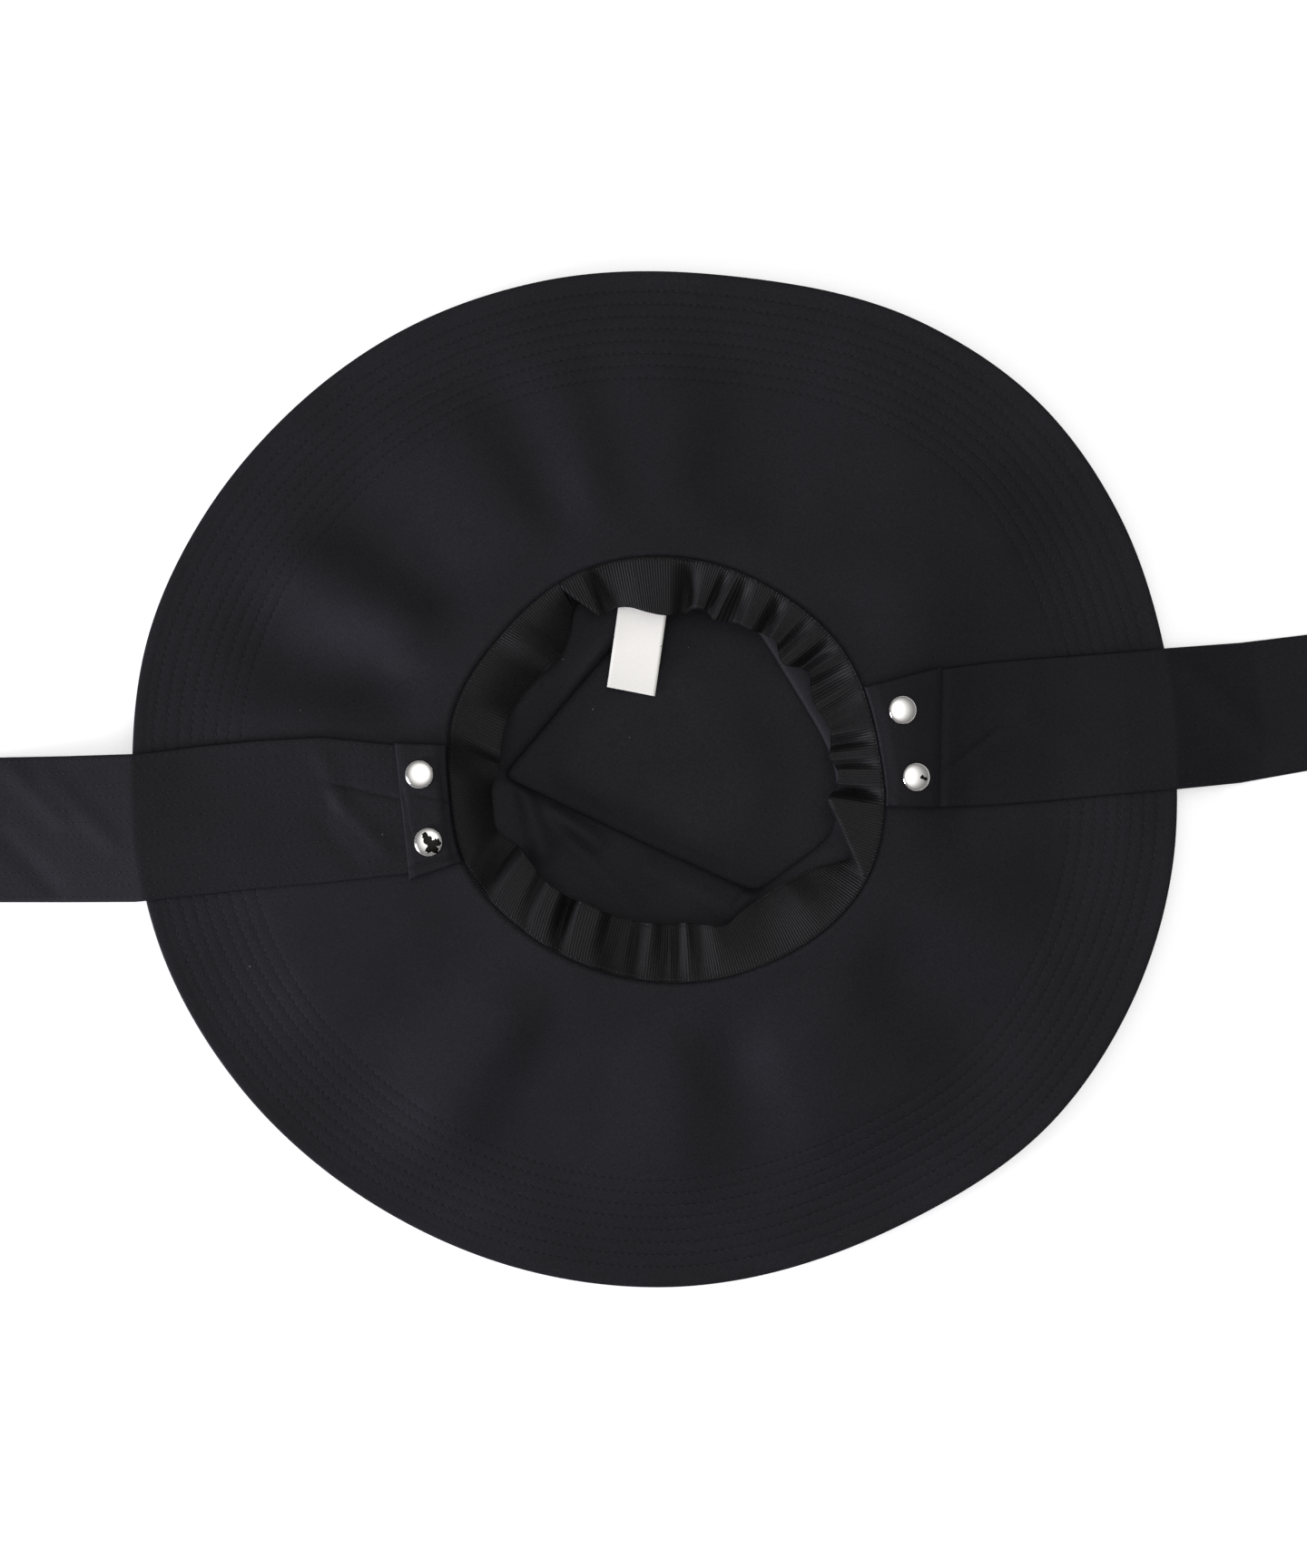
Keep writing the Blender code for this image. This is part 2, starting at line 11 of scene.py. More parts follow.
import bpy
import numpy as np
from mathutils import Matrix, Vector


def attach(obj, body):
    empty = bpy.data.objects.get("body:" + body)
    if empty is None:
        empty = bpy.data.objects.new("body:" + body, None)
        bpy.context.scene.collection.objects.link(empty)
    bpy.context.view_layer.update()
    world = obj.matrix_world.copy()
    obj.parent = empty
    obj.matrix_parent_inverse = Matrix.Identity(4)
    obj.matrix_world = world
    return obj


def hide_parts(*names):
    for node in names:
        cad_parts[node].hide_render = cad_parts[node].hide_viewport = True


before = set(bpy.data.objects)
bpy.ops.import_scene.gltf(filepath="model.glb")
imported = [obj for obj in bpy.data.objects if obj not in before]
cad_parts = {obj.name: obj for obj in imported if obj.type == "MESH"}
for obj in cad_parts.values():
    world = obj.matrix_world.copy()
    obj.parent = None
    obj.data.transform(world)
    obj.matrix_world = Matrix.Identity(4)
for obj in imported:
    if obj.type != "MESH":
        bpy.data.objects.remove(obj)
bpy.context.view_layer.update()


def table(columns, *rows, defaults=()):
    """Rows of numbers in named columns. The defaults fill the last columns of short rows."""
    row_type = namedtuple("Row", columns, defaults=defaults)
    return [row_type(*row) for row in rows]


# Camera: straight above, at the photo's field of view
CAMERA_PLACE = (-0.0066, -0.0055, 1.700)
CAMERA_LENS = 88.66
CAMERA_SENSOR = 36.0

WHITE = (1, 1, 1, 1)

# Light, as radiances and watts: the sky is brightest around one direction
SKY_BRIGHTEST = 2.00
SKY_REST = 0.22
SKY_FALLOFF = 6.0
SKY_DIRECTION = (0.00, 0.10, 0.99)
SIDE_LIGHT_PLACE = (-1.65, -0.77, 0.52)
SIDE_LIGHT_SIZE = (0.8, 0.6)
SIDE_LIGHT_POWER = 34.0
SIDE_LIGHT_COLOUR = (0.97, 0.95, 1.10)
FLOOR_GLOW = 0.50
FLOOR_ALBEDO = 0.80
FLOOR_SIZE = 8.0
FLOOR_DROP = 0.0003

# Cloth thicknesses, and the gap between pieces that lie on each other
BRIM_THICKNESS = 0.0020
CROWN_THICKNESS = 0.0016
SWEATBAND_THICKNESS = 0.0010
TIE_THICKNESS = 0.0020
TAB_THICKNESS = 0.0018
LABEL_THICKNESS = 0.0010
GAP = 0.0004

# Head opening: the seam that joins crown, brim and sweatband
SEAM_HEIGHT = 0.0220
SEAM = table(
    "angle radius",
    (5, 0.0909),
    (35, 0.0913),
    (60, 0.0903),
    (80, 0.0915),
    (115, 0.0940),
    (140, 0.0930),
    (167, 0.0960),
    (185, 0.0943),
    (205, 0.0962),
    (225, 0.0932),
    (250, 0.0907),
    (290, 0.0923),
    (335, 0.0968),
    (351, 0.0940),
)

# Brim edge, how far the brim sags below a straight line from the seam to it, and the share of
# the way out at which it sags most
BRIM_EDGE = table(
    "angle radius height sag",
    (0, 0.2227, 0.0075, 0.0025),
    (15, 0.2240, 0.0070, 0.0025),
    (30, 0.2272, 0.0085, 0.0020),
    (45, 0.2288, 0.0100, 0.0015),
    (60, 0.2257, 0.0105, 0.0010),
    (82, 0.2186, 0.0100, 0.0010),
    (105, 0.2216, 0.0110, 0.0010),
    (120, 0.2251, 0.0110, 0.0015),
    (140, 0.2289, 0.0130, 0.0020),
    (152, 0.2316, 0.0155, 0.0025),
    (165, 0.2342, 0.0175, 0.0030),
    (180, 0.2336, 0.0180, 0.0035),
    (200, 0.2347, 0.0160, 0.0030),
    (215, 0.2327, 0.0140, 0.0025),
    (240, 0.2284, 0.0110, 0.0015),
    (256, 0.2266, 0.0125, 0.0010),
    (269, 0.2258, 0.0100, 0.0010),
    (298, 0.2231, 0.0095, 0.0010),
    (318, 0.2273, 0.0105, 0.0015),
    (332, 0.2267, 0.0100, 0.0020),
    (350, 0.2245, 0.0085, 0.0025),
)
SAG_DEEPEST = 0.65

# Soft folds of the brim. They start this far from the seam, grow to their full rise over the
# next distance, and end at the stiff stitched border.
FOLDS_START = 0.010
FOLDS_FULL = 0.030
STIFF_BORDER = 0.038
BRIM_RIPPLES = table(
    "angle rise",
    (20, -0.0014),
    (35, 0.0030),
    (62, -0.0012),
    (78, -0.0025),
    (89, 0.0011),
    (99, -0.0011),
    (106, 0.0009),
    (113, -0.0018),
    (121, 0.0022),
    (142, -0.0030),
    (151, 0.0032),
    (162, -0.0046),
    (173, 0.0024),
    (185, 0.0007),
    (201, 0.0008),
    (211, 0.0026),
    (224, 0.0004),
    (238, 0.0034),
    (246, -0.0010),
    (257, -0.0011),
    (271, 0.0022),
    (283, -0.0022),
    (293, 0.0028),
    (306, 0.0029),
    (319, -0.0029),
    (333, 0.0006),
    (347, -0.0034),
)

# Brim detail: eight rows of stitches, counted in from the edge, each in a shallow groove. The
# hem is folded under at the edge, which makes the cloth there a little thicker. Rows of points
# lie at these distances from the edge, and at these groove widths from each row of stitches.
BRIM_COLUMNS = 480
BRIM_INNER_ROWS = 26
FIRST_STITCH_ROW = 0.0089
STITCH_ROW_PITCH = 0.00545
STITCH_ROWS = 8
GROOVE_WIDTH = 0.0005
GROOVE_DEPTH = 0.00016
HEM_WIDTH = 0.0052
HEM_RISE = 0.00018
HEM_STEP = 0.0008
BRIM_EDGE_POINTS = [0.0, 0.0001, 0.0003, 0.0006, 0.0011, 0.0025, 0.0042, 0.0050, 0.0056]
GROOVE_POINTS = [-2.0, -1.0, -0.5, 0.0, 0.5, 1.0, 2.0]

# Rounded edges of the cloth: the width of the round part, and what is left at the very edge
EDGE_ROUNDING = 0.0011
EDGE_LEAST_SHARE = 0.04

# Stitches. Each is a bar of rings, and has fewer sides where it lies underneath.
Sewing = namedtuple("Sewing", "length pitch radius finish")
BRIM_SEWING = Sewing(0.0024, 0.0034, 0.00020, "thread")
TIE_SEWING = Sewing(0.0016, 0.0032, 0.00017, "pale_thread")
RIBBON_SEWING = Sewing(0.0009, 0.0021, 0.00018, "pale_thread")
UPPER_SIDES = 5
LOWER_SIDES = 3
STITCH_RINGS = table(
    "along lift width",
    (-0.5, -1.2, 0.5),
    (-0.3, 0.5, 1.0),
    (0.3, 0.5, 1.0),
    (0.5, -1.2, 0.5),
)

# Crown tip: its rows of points are even, apart from those at its middle and its rim
TIP_RADIUS = 0.0825
TIP_CENTRE = (0.001, 0.003)
TIP_THICKNESS = 0.0018
TIP_COLUMNS = 180
TIP_ROWS = 40
TIP_MIDDLE_SHARE = 0.004
TIP_ROWS_SPAN = (0.03, 0.98)
TIP_RIM_SHARES = [0.99, 0.996, 1.0]
TIP_PUFF = 0.0032

# Folds of the crown side over the tip: each folded edge runs straight, and the tip beside it
# reaches its full height this far from it
CREASES = table(
    "angle distance reach",
    (31.4, 0.0655, 0.040),
    (83.9, 0.0712, 0.034),
    (139.5, 0.0537, 0.024),
    (245.2, 0.0325, 0.018),
    (305.9, 0.0650, 0.036),
    (359.2, 0.0739, 0.045),
)
CORNER_ROUNDING = 20

# Section of the crown side. The cloth turns round each folded edge, between a foot under it and
# a shoulder on it, both a little outside it. Wide folds have a belly above them.
CROWN_COLUMNS = 480
CROWN_STEPS = 6
FOLD_FOOT = 0.0024
FOLD_SHOULDER = 0.0044
BELLY = 0.008
BELLY_FROM = 0.045
BELLY_FULL = 0.065
WALL_INSET = 0.0009
# Soft folds in the cloth, here and below: the line each runs along, its rise, or depth where it
# is a dent, and how wide it is on the left and the right of that line
FOLD_COLUMNS = "start end rise left right"
FOLD_ENDS = 0.006
CROWN_FOLDS = table(
    FOLD_COLUMNS,
    ((-0.0640, -0.0060), (-0.0560, -0.0340), 0.0026, 0.0050, 0.0036),
    ((-0.0490, -0.0185), (-0.0330, -0.0310), 0.0020, 0.0044, 0.0030),
    ((-0.0430, -0.0310), (-0.0150, -0.0620), -0.0015, 0.0050, 0.0040),
    ((-0.0080, -0.0440), (0.0220, -0.0580), 0.0014, 0.0060, 0.0050),
    ((0.0345, -0.0515), (0.0275, -0.0615), 0.0022, 0.0080, 0.0016),
    ((-0.0640, 0.0020), (-0.0300, 0.0520), 0.0014, 0.0026, 0.0040),
)
# Section above a fold: its share of the way from the folded edge to the seam, its height, and
# its share of the belly
ABOVE_FOLD = table(
    "share height belly",
    (1.00, 0.0212, 0.0),
    (0.99, 0.0178, 0.2),
    (0.93, 0.0138, 0.9),
    (0.78, 0.0104, 0.7),
    (0.40, 0.0088, 0.0),
)
SHOULDER_HEIGHT = 0.0076
CREASE_HEIGHT = 0.0056
FOLD_FOOT_HEIGHT = 0.0032
RIM_HEIGHT = 0.0030

# Sweatband: a gathered grosgrain ribbon from the seam to its loose inner edge. It is sewn on along
# its last row of points but one, and its two ends meet at the join.
RIBS = 488
COLUMNS_PER_RIB = 4
RIBBON_STEPS = 24
RIB_RELIEF = 0.00048
RIBBON_OVERLAP = 0.0007
RIBBON_GAP = 0.00015
RIBBON_EDGE_ROUNDING = 0.0005
RIBBON_STITCH_ROW = -2
RIBBON_JOIN_ANGLE = 99.0
RIBBON_JOIN_WIDTH = 0.25
RIBBON_JOIN_DEPTH = 0.0002
# Its ridges and valleys: their angle at the seam, how far they lean at the inner edge, that edge's
# distance from the middle and height, how late it falls from the seam, and how much it swells
RIDGE = 1.3
VALLEY = 2.2
EVEN = 1.0
SWELL = 0.0030
LOW_SWELL = 0.0009
PLEATS = table(
    "angle lean radius height fall swell",
    (0.0, 0.0, 0.0737, 0.0196),
    (2.2, 0.0, 0.0722, 0.0158, VALLEY),
    (4.6, 0.0, 0.0704, 0.0190),
    (6.2, 0.0, 0.0704, 0.0190),
    (9.2, 0.0, 0.0716, 0.0126, VALLEY),
    (12.6, 0.5, 0.0722, 0.0192),
    (18.2, -2.4, 0.0720, 0.0196),
    (22.4, -2.5, 0.0714, 0.0168, VALLEY),
    (25.4, -2.0, 0.0698, 0.0186),
    (29.6, 0.4, 0.0716, 0.0136, VALLEY),
    (32.8, 1.2, 0.0745, 0.0194),
    (34.4, 0.4, 0.0748, 0.0194),
    (38.2, 0.0, 0.0732, 0.0118, VALLEY),
    (41.6, 0.6, 0.0686, 0.0196),
    (43.6, 0.8, 0.0684, 0.0196),
    (46.4, 0.8, 0.0704, 0.0158, VALLEY),
    (49.6, 0.4, 0.0730, 0.0206),
    (53.6, -1.2, 0.0730, 0.0204),
    (57.2, -1.4, 0.0726, 0.0136, VALLEY),
    (60.8, -0.8, 0.0712, 0.0208),
    (64.4, -1.4, 0.0710, 0.0206),
    (68.0, -0.7, 0.0706, 0.0140, VALLEY),
    (70.9, 2.8, 0.0690, 0.0194),
    (73.2, 3.2, 0.0716, 0.0148, VALLEY),
    (76.0, 2.2, 0.0722, 0.0184),
    (79.0, 1.2, 0.0722, 0.0188),
    (84.3, 0.2, 0.0694, 0.0122, VALLEY),
    (90.0, 0.0, 0.0678, 0.0204),
    (98.0, 0.0, 0.0700, 0.0206),
    (103.5, 0.4, 0.0736, 0.0186),
    (107.5, 0.6, 0.0748, 0.0160),
    (110.6, 0.8, 0.0742, 0.0146, VALLEY),
    (113.6, 0.0, 0.0752, 0.0192),
    (118.0, 0.0, 0.0835, 0.0128),
    (120.6, 0.0, 0.0810, 0.0126, EVEN, SWELL),
    (124.5, 0.3, 0.0749, 0.0124, EVEN, SWELL),
    (128.0, 0.2, 0.0716, 0.0124, EVEN, SWELL),
    (133.0, -0.8, 0.0691, 0.0122, EVEN, SWELL),
    (139.8, -2.6, 0.0690, 0.0196, EVEN, SWELL),
    (146.5, -1.4, 0.0702, 0.0122, EVEN, SWELL),
    (156.0, 1.4, 0.0728, 0.0122, EVEN, SWELL),
    (161.5, 2.4, 0.0738, 0.0200),
    (168.0, 5.0, 0.0738, 0.0206),
    (173.5, 5.0, 0.0742, 0.0124, VALLEY),
    (184.0, 1.5, 0.0776, 0.0122, EVEN, SWELL),
    (195.0, -3.0, 0.0784, 0.0122, EVEN, SWELL),
    (203.0, -5.0, 0.0792, 0.0122, EVEN, SWELL),
    (207.5, -6.0, 0.0778, 0.0150),
    (212.0, -6.6, 0.0738, 0.0128, VALLEY),
    (217.5, -7.2, 0.0722, 0.0262),
    (223.0, -7.0, 0.0717, 0.0262),
    (227.2, -6.8, 0.0717, 0.0216, VALLEY),
    (230.2, -6.6, 0.0716, 0.0258),
    (233.4, -5.8, 0.0706, 0.0258),
    (237.6, -5.4, 0.0700, 0.0146, VALLEY),
    (241.6, -5.2, 0.0682, 0.0244),
    (246.4, -3.2, 0.0674, 0.0244),
    (251.4, -2.2, 0.0672, 0.0160, VALLEY),
    (256.6, -1.0, 0.0668, 0.0180),
    (259.4, -0.8, 0.0668, 0.0164, VALLEY),
    (263.6, 0.0, 0.0666, 0.0236),
    (268.4, 0.3, 0.0666, 0.0180, VALLEY),
    (270.2, 0.4, 0.0666, 0.0188),
    (272.0, 0.6, 0.0664, 0.0178, VALLEY),
    (275.6, 0.8, 0.0662, 0.0234),
    (278.4, 0.8, 0.0670, 0.0204, VALLEY),
    (284.5, 0.8, 0.0694, 0.0236),
    (290.0, 0.6, 0.0712, 0.0222),
    (295.0, 1.5, 0.0688, 0.0200),
    (305.0, 3.0, 0.0682, 0.0158, EVEN, LOW_SWELL),
    (313.5, 1.6, 0.0696, 0.0158, EVEN, 2 * LOW_SWELL),
    (322.0, 0.5, 0.0736, 0.0134, EVEN, LOW_SWELL),
    (326.5, 0.3, 0.0766, 0.0128, EVEN),
    (331.2, 0.2, 0.0832, 0.0126, EVEN),
    (334.5, 0.0, 0.0876, 0.0128),
    (340.0, 0.0, 0.0808, 0.0128),
    (345.0, 0.0, 0.0750, 0.0128),
    (350.6, 0.0, 0.0704, 0.0206),
    (353.3, 0.0, 0.0726, 0.0126, VALLEY),
    (356.6, 0.0, 0.0737, 0.0194),
    defaults=(RIDGE, 0.0),
)
# Two folds at which the ribbon turns down: each runs from the seam to a point of the inner edge,
# and the rows of points keep some cloth on both sides of it
TURN_LEAST_SHARE = 0.04
TURN_MOST_SHARE = 0.98
TURNS = table(
    "seam_angle end_angle end_radius end_height",
    (331.2, 350.6, 0.0704, 0.0212),
    (120.6, 113.8, 0.0734, 0.0196),
)

# Tabs: each starts along the seam between two angles and ends on a straight outer edge. Cloth
# pads a tab's underside at the seam, and the tab gets thinner toward its outer edge.
TAB_SEAM_GAP = 0.0014
TAB_SEAM_PADDING = 0.0020
TAB_GRID = (60, 90)
TAB_HEM = 0.0030
TAB_EDGE_TAPER = 0.0035
TAB_EDGE_SHARE = 0.40
TAB_GROOVE_SHARE = 0.3
TabSize = namedtuple("TabSize", "seam_lower seam_upper outer_lower outer_upper")
TABS = {
    "left": TabSize(203.8, 173.0, (-0.1124, -0.0472), (-0.1188, 0.0126)),
    "right": TabSize(-9.1, 23.5, (0.1173, -0.0157), (0.1189, 0.0456)),
}

# Ties: each starts under its tab, where it is a little narrower, and has its two edges at these
# places along X. Past the brim's edge it comes down to the surface over its drop. Its flat width
# is that of its width row.
TIE_INNER_END = 0.0075
TIE_INSET_SHARE = 0.01
TIE_STEPS = 190
TIE_COLUMNS = 58
TIE_EDGE_POINTS = [0.0, 0.0002, 0.0006]
TIE_STITCH_ROWS = 12
TIE_FIRST_STITCH_ROW = 0.0026
TIE_DROP_START = -0.0003
TIE_DROP = {"left": 0.082, "right": 0.040}
TIE_DROP_CURVE = 1.2
TIE_WIDTH_ROW = 3
TIES = {
    "left": table(
        "x lower upper",
        (-0.1200, -0.0453, 0.0119),
        (-0.1510, -0.0488, 0.0151),
        (-0.1780, -0.0511, 0.0136),
        (-0.2050, -0.0541, 0.0111),
        (-0.2320, -0.0569, 0.0076),
        (-0.2640, -0.0573, 0.0067),
        (-0.3150, -0.0576, 0.0058),
    ),
    "right": table(
        "x lower upper",
        (0.1180, -0.0156, 0.0446),
        (0.1410, -0.0149, 0.0478),
        (0.1630, -0.0134, 0.0497),
        (0.1890, -0.0108, 0.0516),
        (0.2180, -0.0083, 0.0540),
        (0.2510, -0.0051, 0.0566),
        (0.3020, 0.0040, 0.0628),
    ),
}

# Creases and soft wrinkles of the ties and tabs
TIE_FOLDS = table(
    FOLD_COLUMNS,
    ((-0.1432, -0.0055), (-0.1211, -0.0106), -0.0008, 0.0010, 0.0014),
    ((-0.1500, 0.0060), (-0.1424, -0.0130), 0.0006, 0.0044, 0.0040),
    ((-0.1424, -0.0130), (-0.1245, -0.0325), 0.0008, 0.0044, 0.0036),
    ((-0.1487, -0.0244), (-0.1361, -0.0394), -0.0006, 0.0050, 0.0050),
    ((-0.2870, 0.0000), (-0.2660, -0.0200), 0.0006, 0.0050, 0.0050),
    ((-0.2700, -0.0040), (-0.2440, -0.0290), 0.0005, 0.0050, 0.0050),
    ((-0.2900, -0.0300), (-0.2700, -0.0500), -0.0005, 0.0050, 0.0050),
    ((0.1235, 0.0030), (0.1394, 0.0150), -0.0006, 0.0012, 0.0030),
    ((0.1212, -0.0157), (0.1228, 0.0456), 0.0008, 0.0020, 0.0120),
    ((0.1560, 0.0260), (0.1800, 0.0080), 0.0005, 0.0060, 0.0060),
    ((0.2300, 0.0420), (0.2600, 0.0150), 0.0006, 0.0060, 0.0060),
)
TAB_FOLDS = table(
    FOLD_COLUMNS,
    ((-0.1057, -0.0106), (-0.0943, -0.0130), -0.0005, 0.0009, 0.0012),
    ((-0.1075, -0.0400), (-0.0895, -0.0359), -0.0006, 0.0008, 0.0011),
    ((-0.1175, -0.0071), (-0.1128, -0.0200), 0.0002, 0.0014, 0.0012),
    ((-0.1145, -0.0120), (-0.1118, -0.0250), -0.0003, 0.0012, 0.0012),
    ((-0.0970, -0.0060), (-0.0935, -0.0240), -0.0004, 0.0024, 0.0024),
    ((0.0935, 0.0110), (0.1010, 0.0125), -0.0002, 0.0012, 0.0016),
    ((0.0955, -0.0085), (0.0990, -0.0135), 0.0002, 0.0012, 0.0012),
    ((0.0960, 0.0010), (0.0990, 0.0020), 0.0002, 0.0012, 0.0012),
)

# Snap fasteners: a domed cap above the tab, a post through tab and tie, and a foot under the tie
CAP_RADIUS = 0.00625
CAP_RISE = 0.0020
CAP_RIM = 0.0005
CAP_CHAMFER_WIDTH = 0.0003
CAP_CHAMFER_HEIGHT = 0.0002
POST_RADIUS = 0.0020
FOOT_RADIUS = 0.0045
FOOT_THICKNESS = 0.0007
SNAP_SEGMENTS = 72
CAP_ARC_STEPS = 14
SNAP_SHARP_ANGLE = 50
SNAPS = {
    "snap_left_upper": (-0.1079, -0.0014),
    "snap_left_lower": (-0.1040, -0.0306),
    "snap_right_upper": (0.1012, 0.0265),
    "snap_right_lower": (0.1071, -0.0025),
}

# Chrome of the caps, a little hazy, with dark reflections painted on as colour in circles with ragged
# edges
CHROME_COLOUR = (0.94, 0.92, 0.89, 1)
CHROME_ROUGHNESS = (0.06, 0.18)
HAZE_SCALE = 900.0
HAZE_DETAIL = 2.0
PAINTED_REFLECTIONS = table(
    "x y radius",
    (-0.1052, -0.0277, 0.0014),
    (-0.1042, -0.0299, 0.0021),
    (-0.1022, -0.0318, 0.0022),
    (-0.1003, -0.0309, 0.0017),
    (-0.1011, -0.0339, 0.0016),
    (-0.1037, -0.0341, 0.0014),
    (0.1098, -0.0026, 0.0009),
    (0.1110, -0.0034, 0.0009),
)
PAINTED_REFLECTION_RAGGEDNESS = 0.0010
PAINTED_REFLECTION_COLOUR = (0.012, 0.011, 0.010, 1)

# Label: a strip along the line of these points, turned by its tilt
LABEL_WIDTH = 0.0214
LABEL_TILT = -11.0
LABEL = table(
    "x y height",
    (-0.0104, 0.0778, 0.0152),
    (-0.0115, 0.0700, 0.0114),
    (-0.0129, 0.0600, 0.0106),
    (-0.0143, 0.0500, 0.0086),
    (-0.0156, 0.0410, 0.0070),
    (-0.0165, 0.0350, 0.0066),
)
LABEL_GRID = (60, 30)

# Layers above the brim where a tie is fastened, in the order in which they lie. A tab climbs
# over its ramp, and a tie settles onto the brim further out.
TIE_LIFT = GAP + FOOT_THICKNESS + GAP
TAB_LIFT_INNER = 0.0028
TAB_LIFT = TIE_LIFT + TIE_THICKNESS + 1.5 * GAP
TAB_RAMP = 0.0061
TIE_SETTLES_FROM = 0.030
TIE_SETTLES_OVER = 0.040

# Weave of all cloth: threads stretched both ways, patches and threads that are lighter and
# darker by these shares, and specks of lint
THREAD_SCALES = [(900, 2600, 900), (2600, 900, 900)]
THREAD_DETAIL = 2.0
WEAVE_RANGE = (0.6, 1.4)
WEAVE_TONE = 0.6
PATCH_SCALE = 22.0
PATCH_DETAIL = 3.0
PATCH_RANGE = (0.3, 0.7)
PATCH_TONE = 0.16
LINT_SCALE = 42.0
LINT_SIZE = 0.014
LINT_COLOUR = (0.10, 0.10, 0.11, 1)

# Finishes: colour as linear red, green and blue, the height of the weave, and how uneven it is
Finish = namedtuple("Finish", "colour roughness specular grain mottle", defaults=(1.0,))
FINISHES = {
    "brim_cloth": Finish((0.0095, 0.0092, 0.0121), 0.60, 0.14, 0.00006),
    "crown_cloth": Finish((0.0097, 0.0096, 0.0118), 0.60, 0.14, 0.00005),
    "tie_cloth": Finish((0.0076, 0.0074, 0.0096), 0.60, 0.14, 0.00007),
    "ribbon": Finish((0.0086, 0.0085, 0.0086), 0.55, 0.18, 0.00003),
    "thread": Finish((0.0150, 0.0150, 0.0170), 0.45, 0.16, 0.00002),
    "pale_thread": Finish((0.0125, 0.0125, 0.0145), 0.45, 0.24, 0.00002),
    "label_cloth": Finish((0.97, 0.95, 0.89), 0.80, 0.15, 0.00003, 0.06),
}


def smooth_step(value):
    """0 below 0, 1 above 1, and an even S-shaped rise between them."""
    share = np.clip(value, 0, 1)
    return share * share * (3 - 2 * share)


def around(rows, column, bounded=False):
    """A smooth closed curve through one column of a table whose rows go once round the hat.

    A bounded curve is level at its highs and lows, and so goes nowhere beyond its rows.
    """
    angles = np.array([row.angle for row in rows], float)
    values = np.array([getattr(row, column) for row in rows], float)
    angles = np.concatenate([angles[-2:] - 360, angles, angles[:2] + 360])
    values = np.concatenate([values[-2:], values, values[:2]])
    slopes = np.gradient(values, angles)
    if bounded:
        steps = np.diff(values) / np.diff(angles)
        steepest = 2 * np.minimum(np.abs(steps[:-1]), np.abs(steps[1:])) * (steps[:-1] * steps[1:] > 0)
        slopes[1:-1] = np.clip(slopes[1:-1], -steepest, steepest)

    def curve(angle):
        place = np.mod(angle, 360)
        after = np.searchsorted(angles, place, side="right")
        before = after - 1
        width = angles[after] - angles[before]
        share = (place - angles[before]) / width
        ease = smooth_step(share)
        bend = slopes[before] * (1 - share) - slopes[after] * share
        return values[before] * (1 - ease) + values[after] * ease + bend * width * share * (1 - share)

    return curve


seam_radius = around(SEAM, "radius")
edge_radius = around(BRIM_EDGE, "radius")
edge_height = around(BRIM_EDGE, "height")
brim_sag = around(BRIM_EDGE, "sag")
brim_ripple = around(BRIM_RIPPLES, "rise")
pleat_lean = around(PLEATS, "lean")
pleat_radius = around(PLEATS, "radius")
pleat_height = around(PLEATS, "height", bounded=True)
pleat_fall = around(PLEATS, "fall", bounded=True)
pleat_swell = around(PLEATS, "swell", bounded=True)


def angle_of(x, y):
    return np.degrees(np.arctan2(y, x))


def angles_around(columns):
    """Angles of even columns of points once round the hat."""
    return np.arange(columns) * 360 / columns


def polar(angle, radius, height):
    """Points from their angle, radius and height, each a grid or one number."""
    turn = np.radians(angle)
    x = radius * np.cos(turn)
    y = radius * np.sin(turn)
    return np.stack(np.broadcast_arrays(x, y, height), axis=-1)


def brim_height(angle, radius):
    """Height of the middle of the brim's cloth: a sagging slope with soft folds in it."""
    seam = seam_radius(angle)
    edge = edge_radius(angle)
    out = np.clip((radius - seam) / (edge - seam), 0, 1)
    sag = brim_sag(angle) * np.sin(math.pi * out ** (math.log(0.5) / math.log(SAG_DEEPEST)))
    slope = SEAM_HEIGHT + (edge_height(angle) - SEAM_HEIGHT) * out - sag
    near_seam = smooth_step((radius - seam - FOLDS_START) / FOLDS_FULL)
    near_border = smooth_step((edge - STIFF_BORDER / 2 - radius) / STIFF_BORDER)
    return slope + brim_ripple(angle) * near_seam * near_border


def brim_top(x, y):
    return brim_height(angle_of(x, y), np.hypot(x, y)) + BRIM_THICKNESS / 2


def tie_height(side, x, y):
    """Middle of a tie: fastened above the brim, then resting on it, then down to the surface."""
    angle = angle_of(x, y)
    radius = np.hypot(x, y)
    settled = smooth_step((radius - seam_radius(angle) - TIE_SETTLES_FROM) / TIE_SETTLES_OVER)
    lift = TIE_LIFT + (2 * GAP - TIE_LIFT) * settled
    past_brim = (radius - edge_radius(angle) - TIE_DROP_START) / TIE_DROP[side]
    left_over = (1 - np.clip(past_brim, 0, 1)) ** TIE_DROP_CURVE
    return (brim_top(x, y) + lift) * left_over + TIE_THICKNESS / 2 + fold_rise(x, y, TIE_FOLDS)


def tab_height(x, y):
    """Middle of a tab: on the brim at the seam, then up over the end of the tie."""
    from_seam = np.hypot(x, y) - seam_radius(angle_of(x, y)) - TAB_SEAM_GAP
    lift = TAB_LIFT_INNER + (TAB_LIFT - TAB_LIFT_INNER) * smooth_step(from_seam / TAB_RAMP)
    return brim_top(x, y) + lift + TAB_THICKNESS / 2 + fold_rise(x, y, TAB_FOLDS)


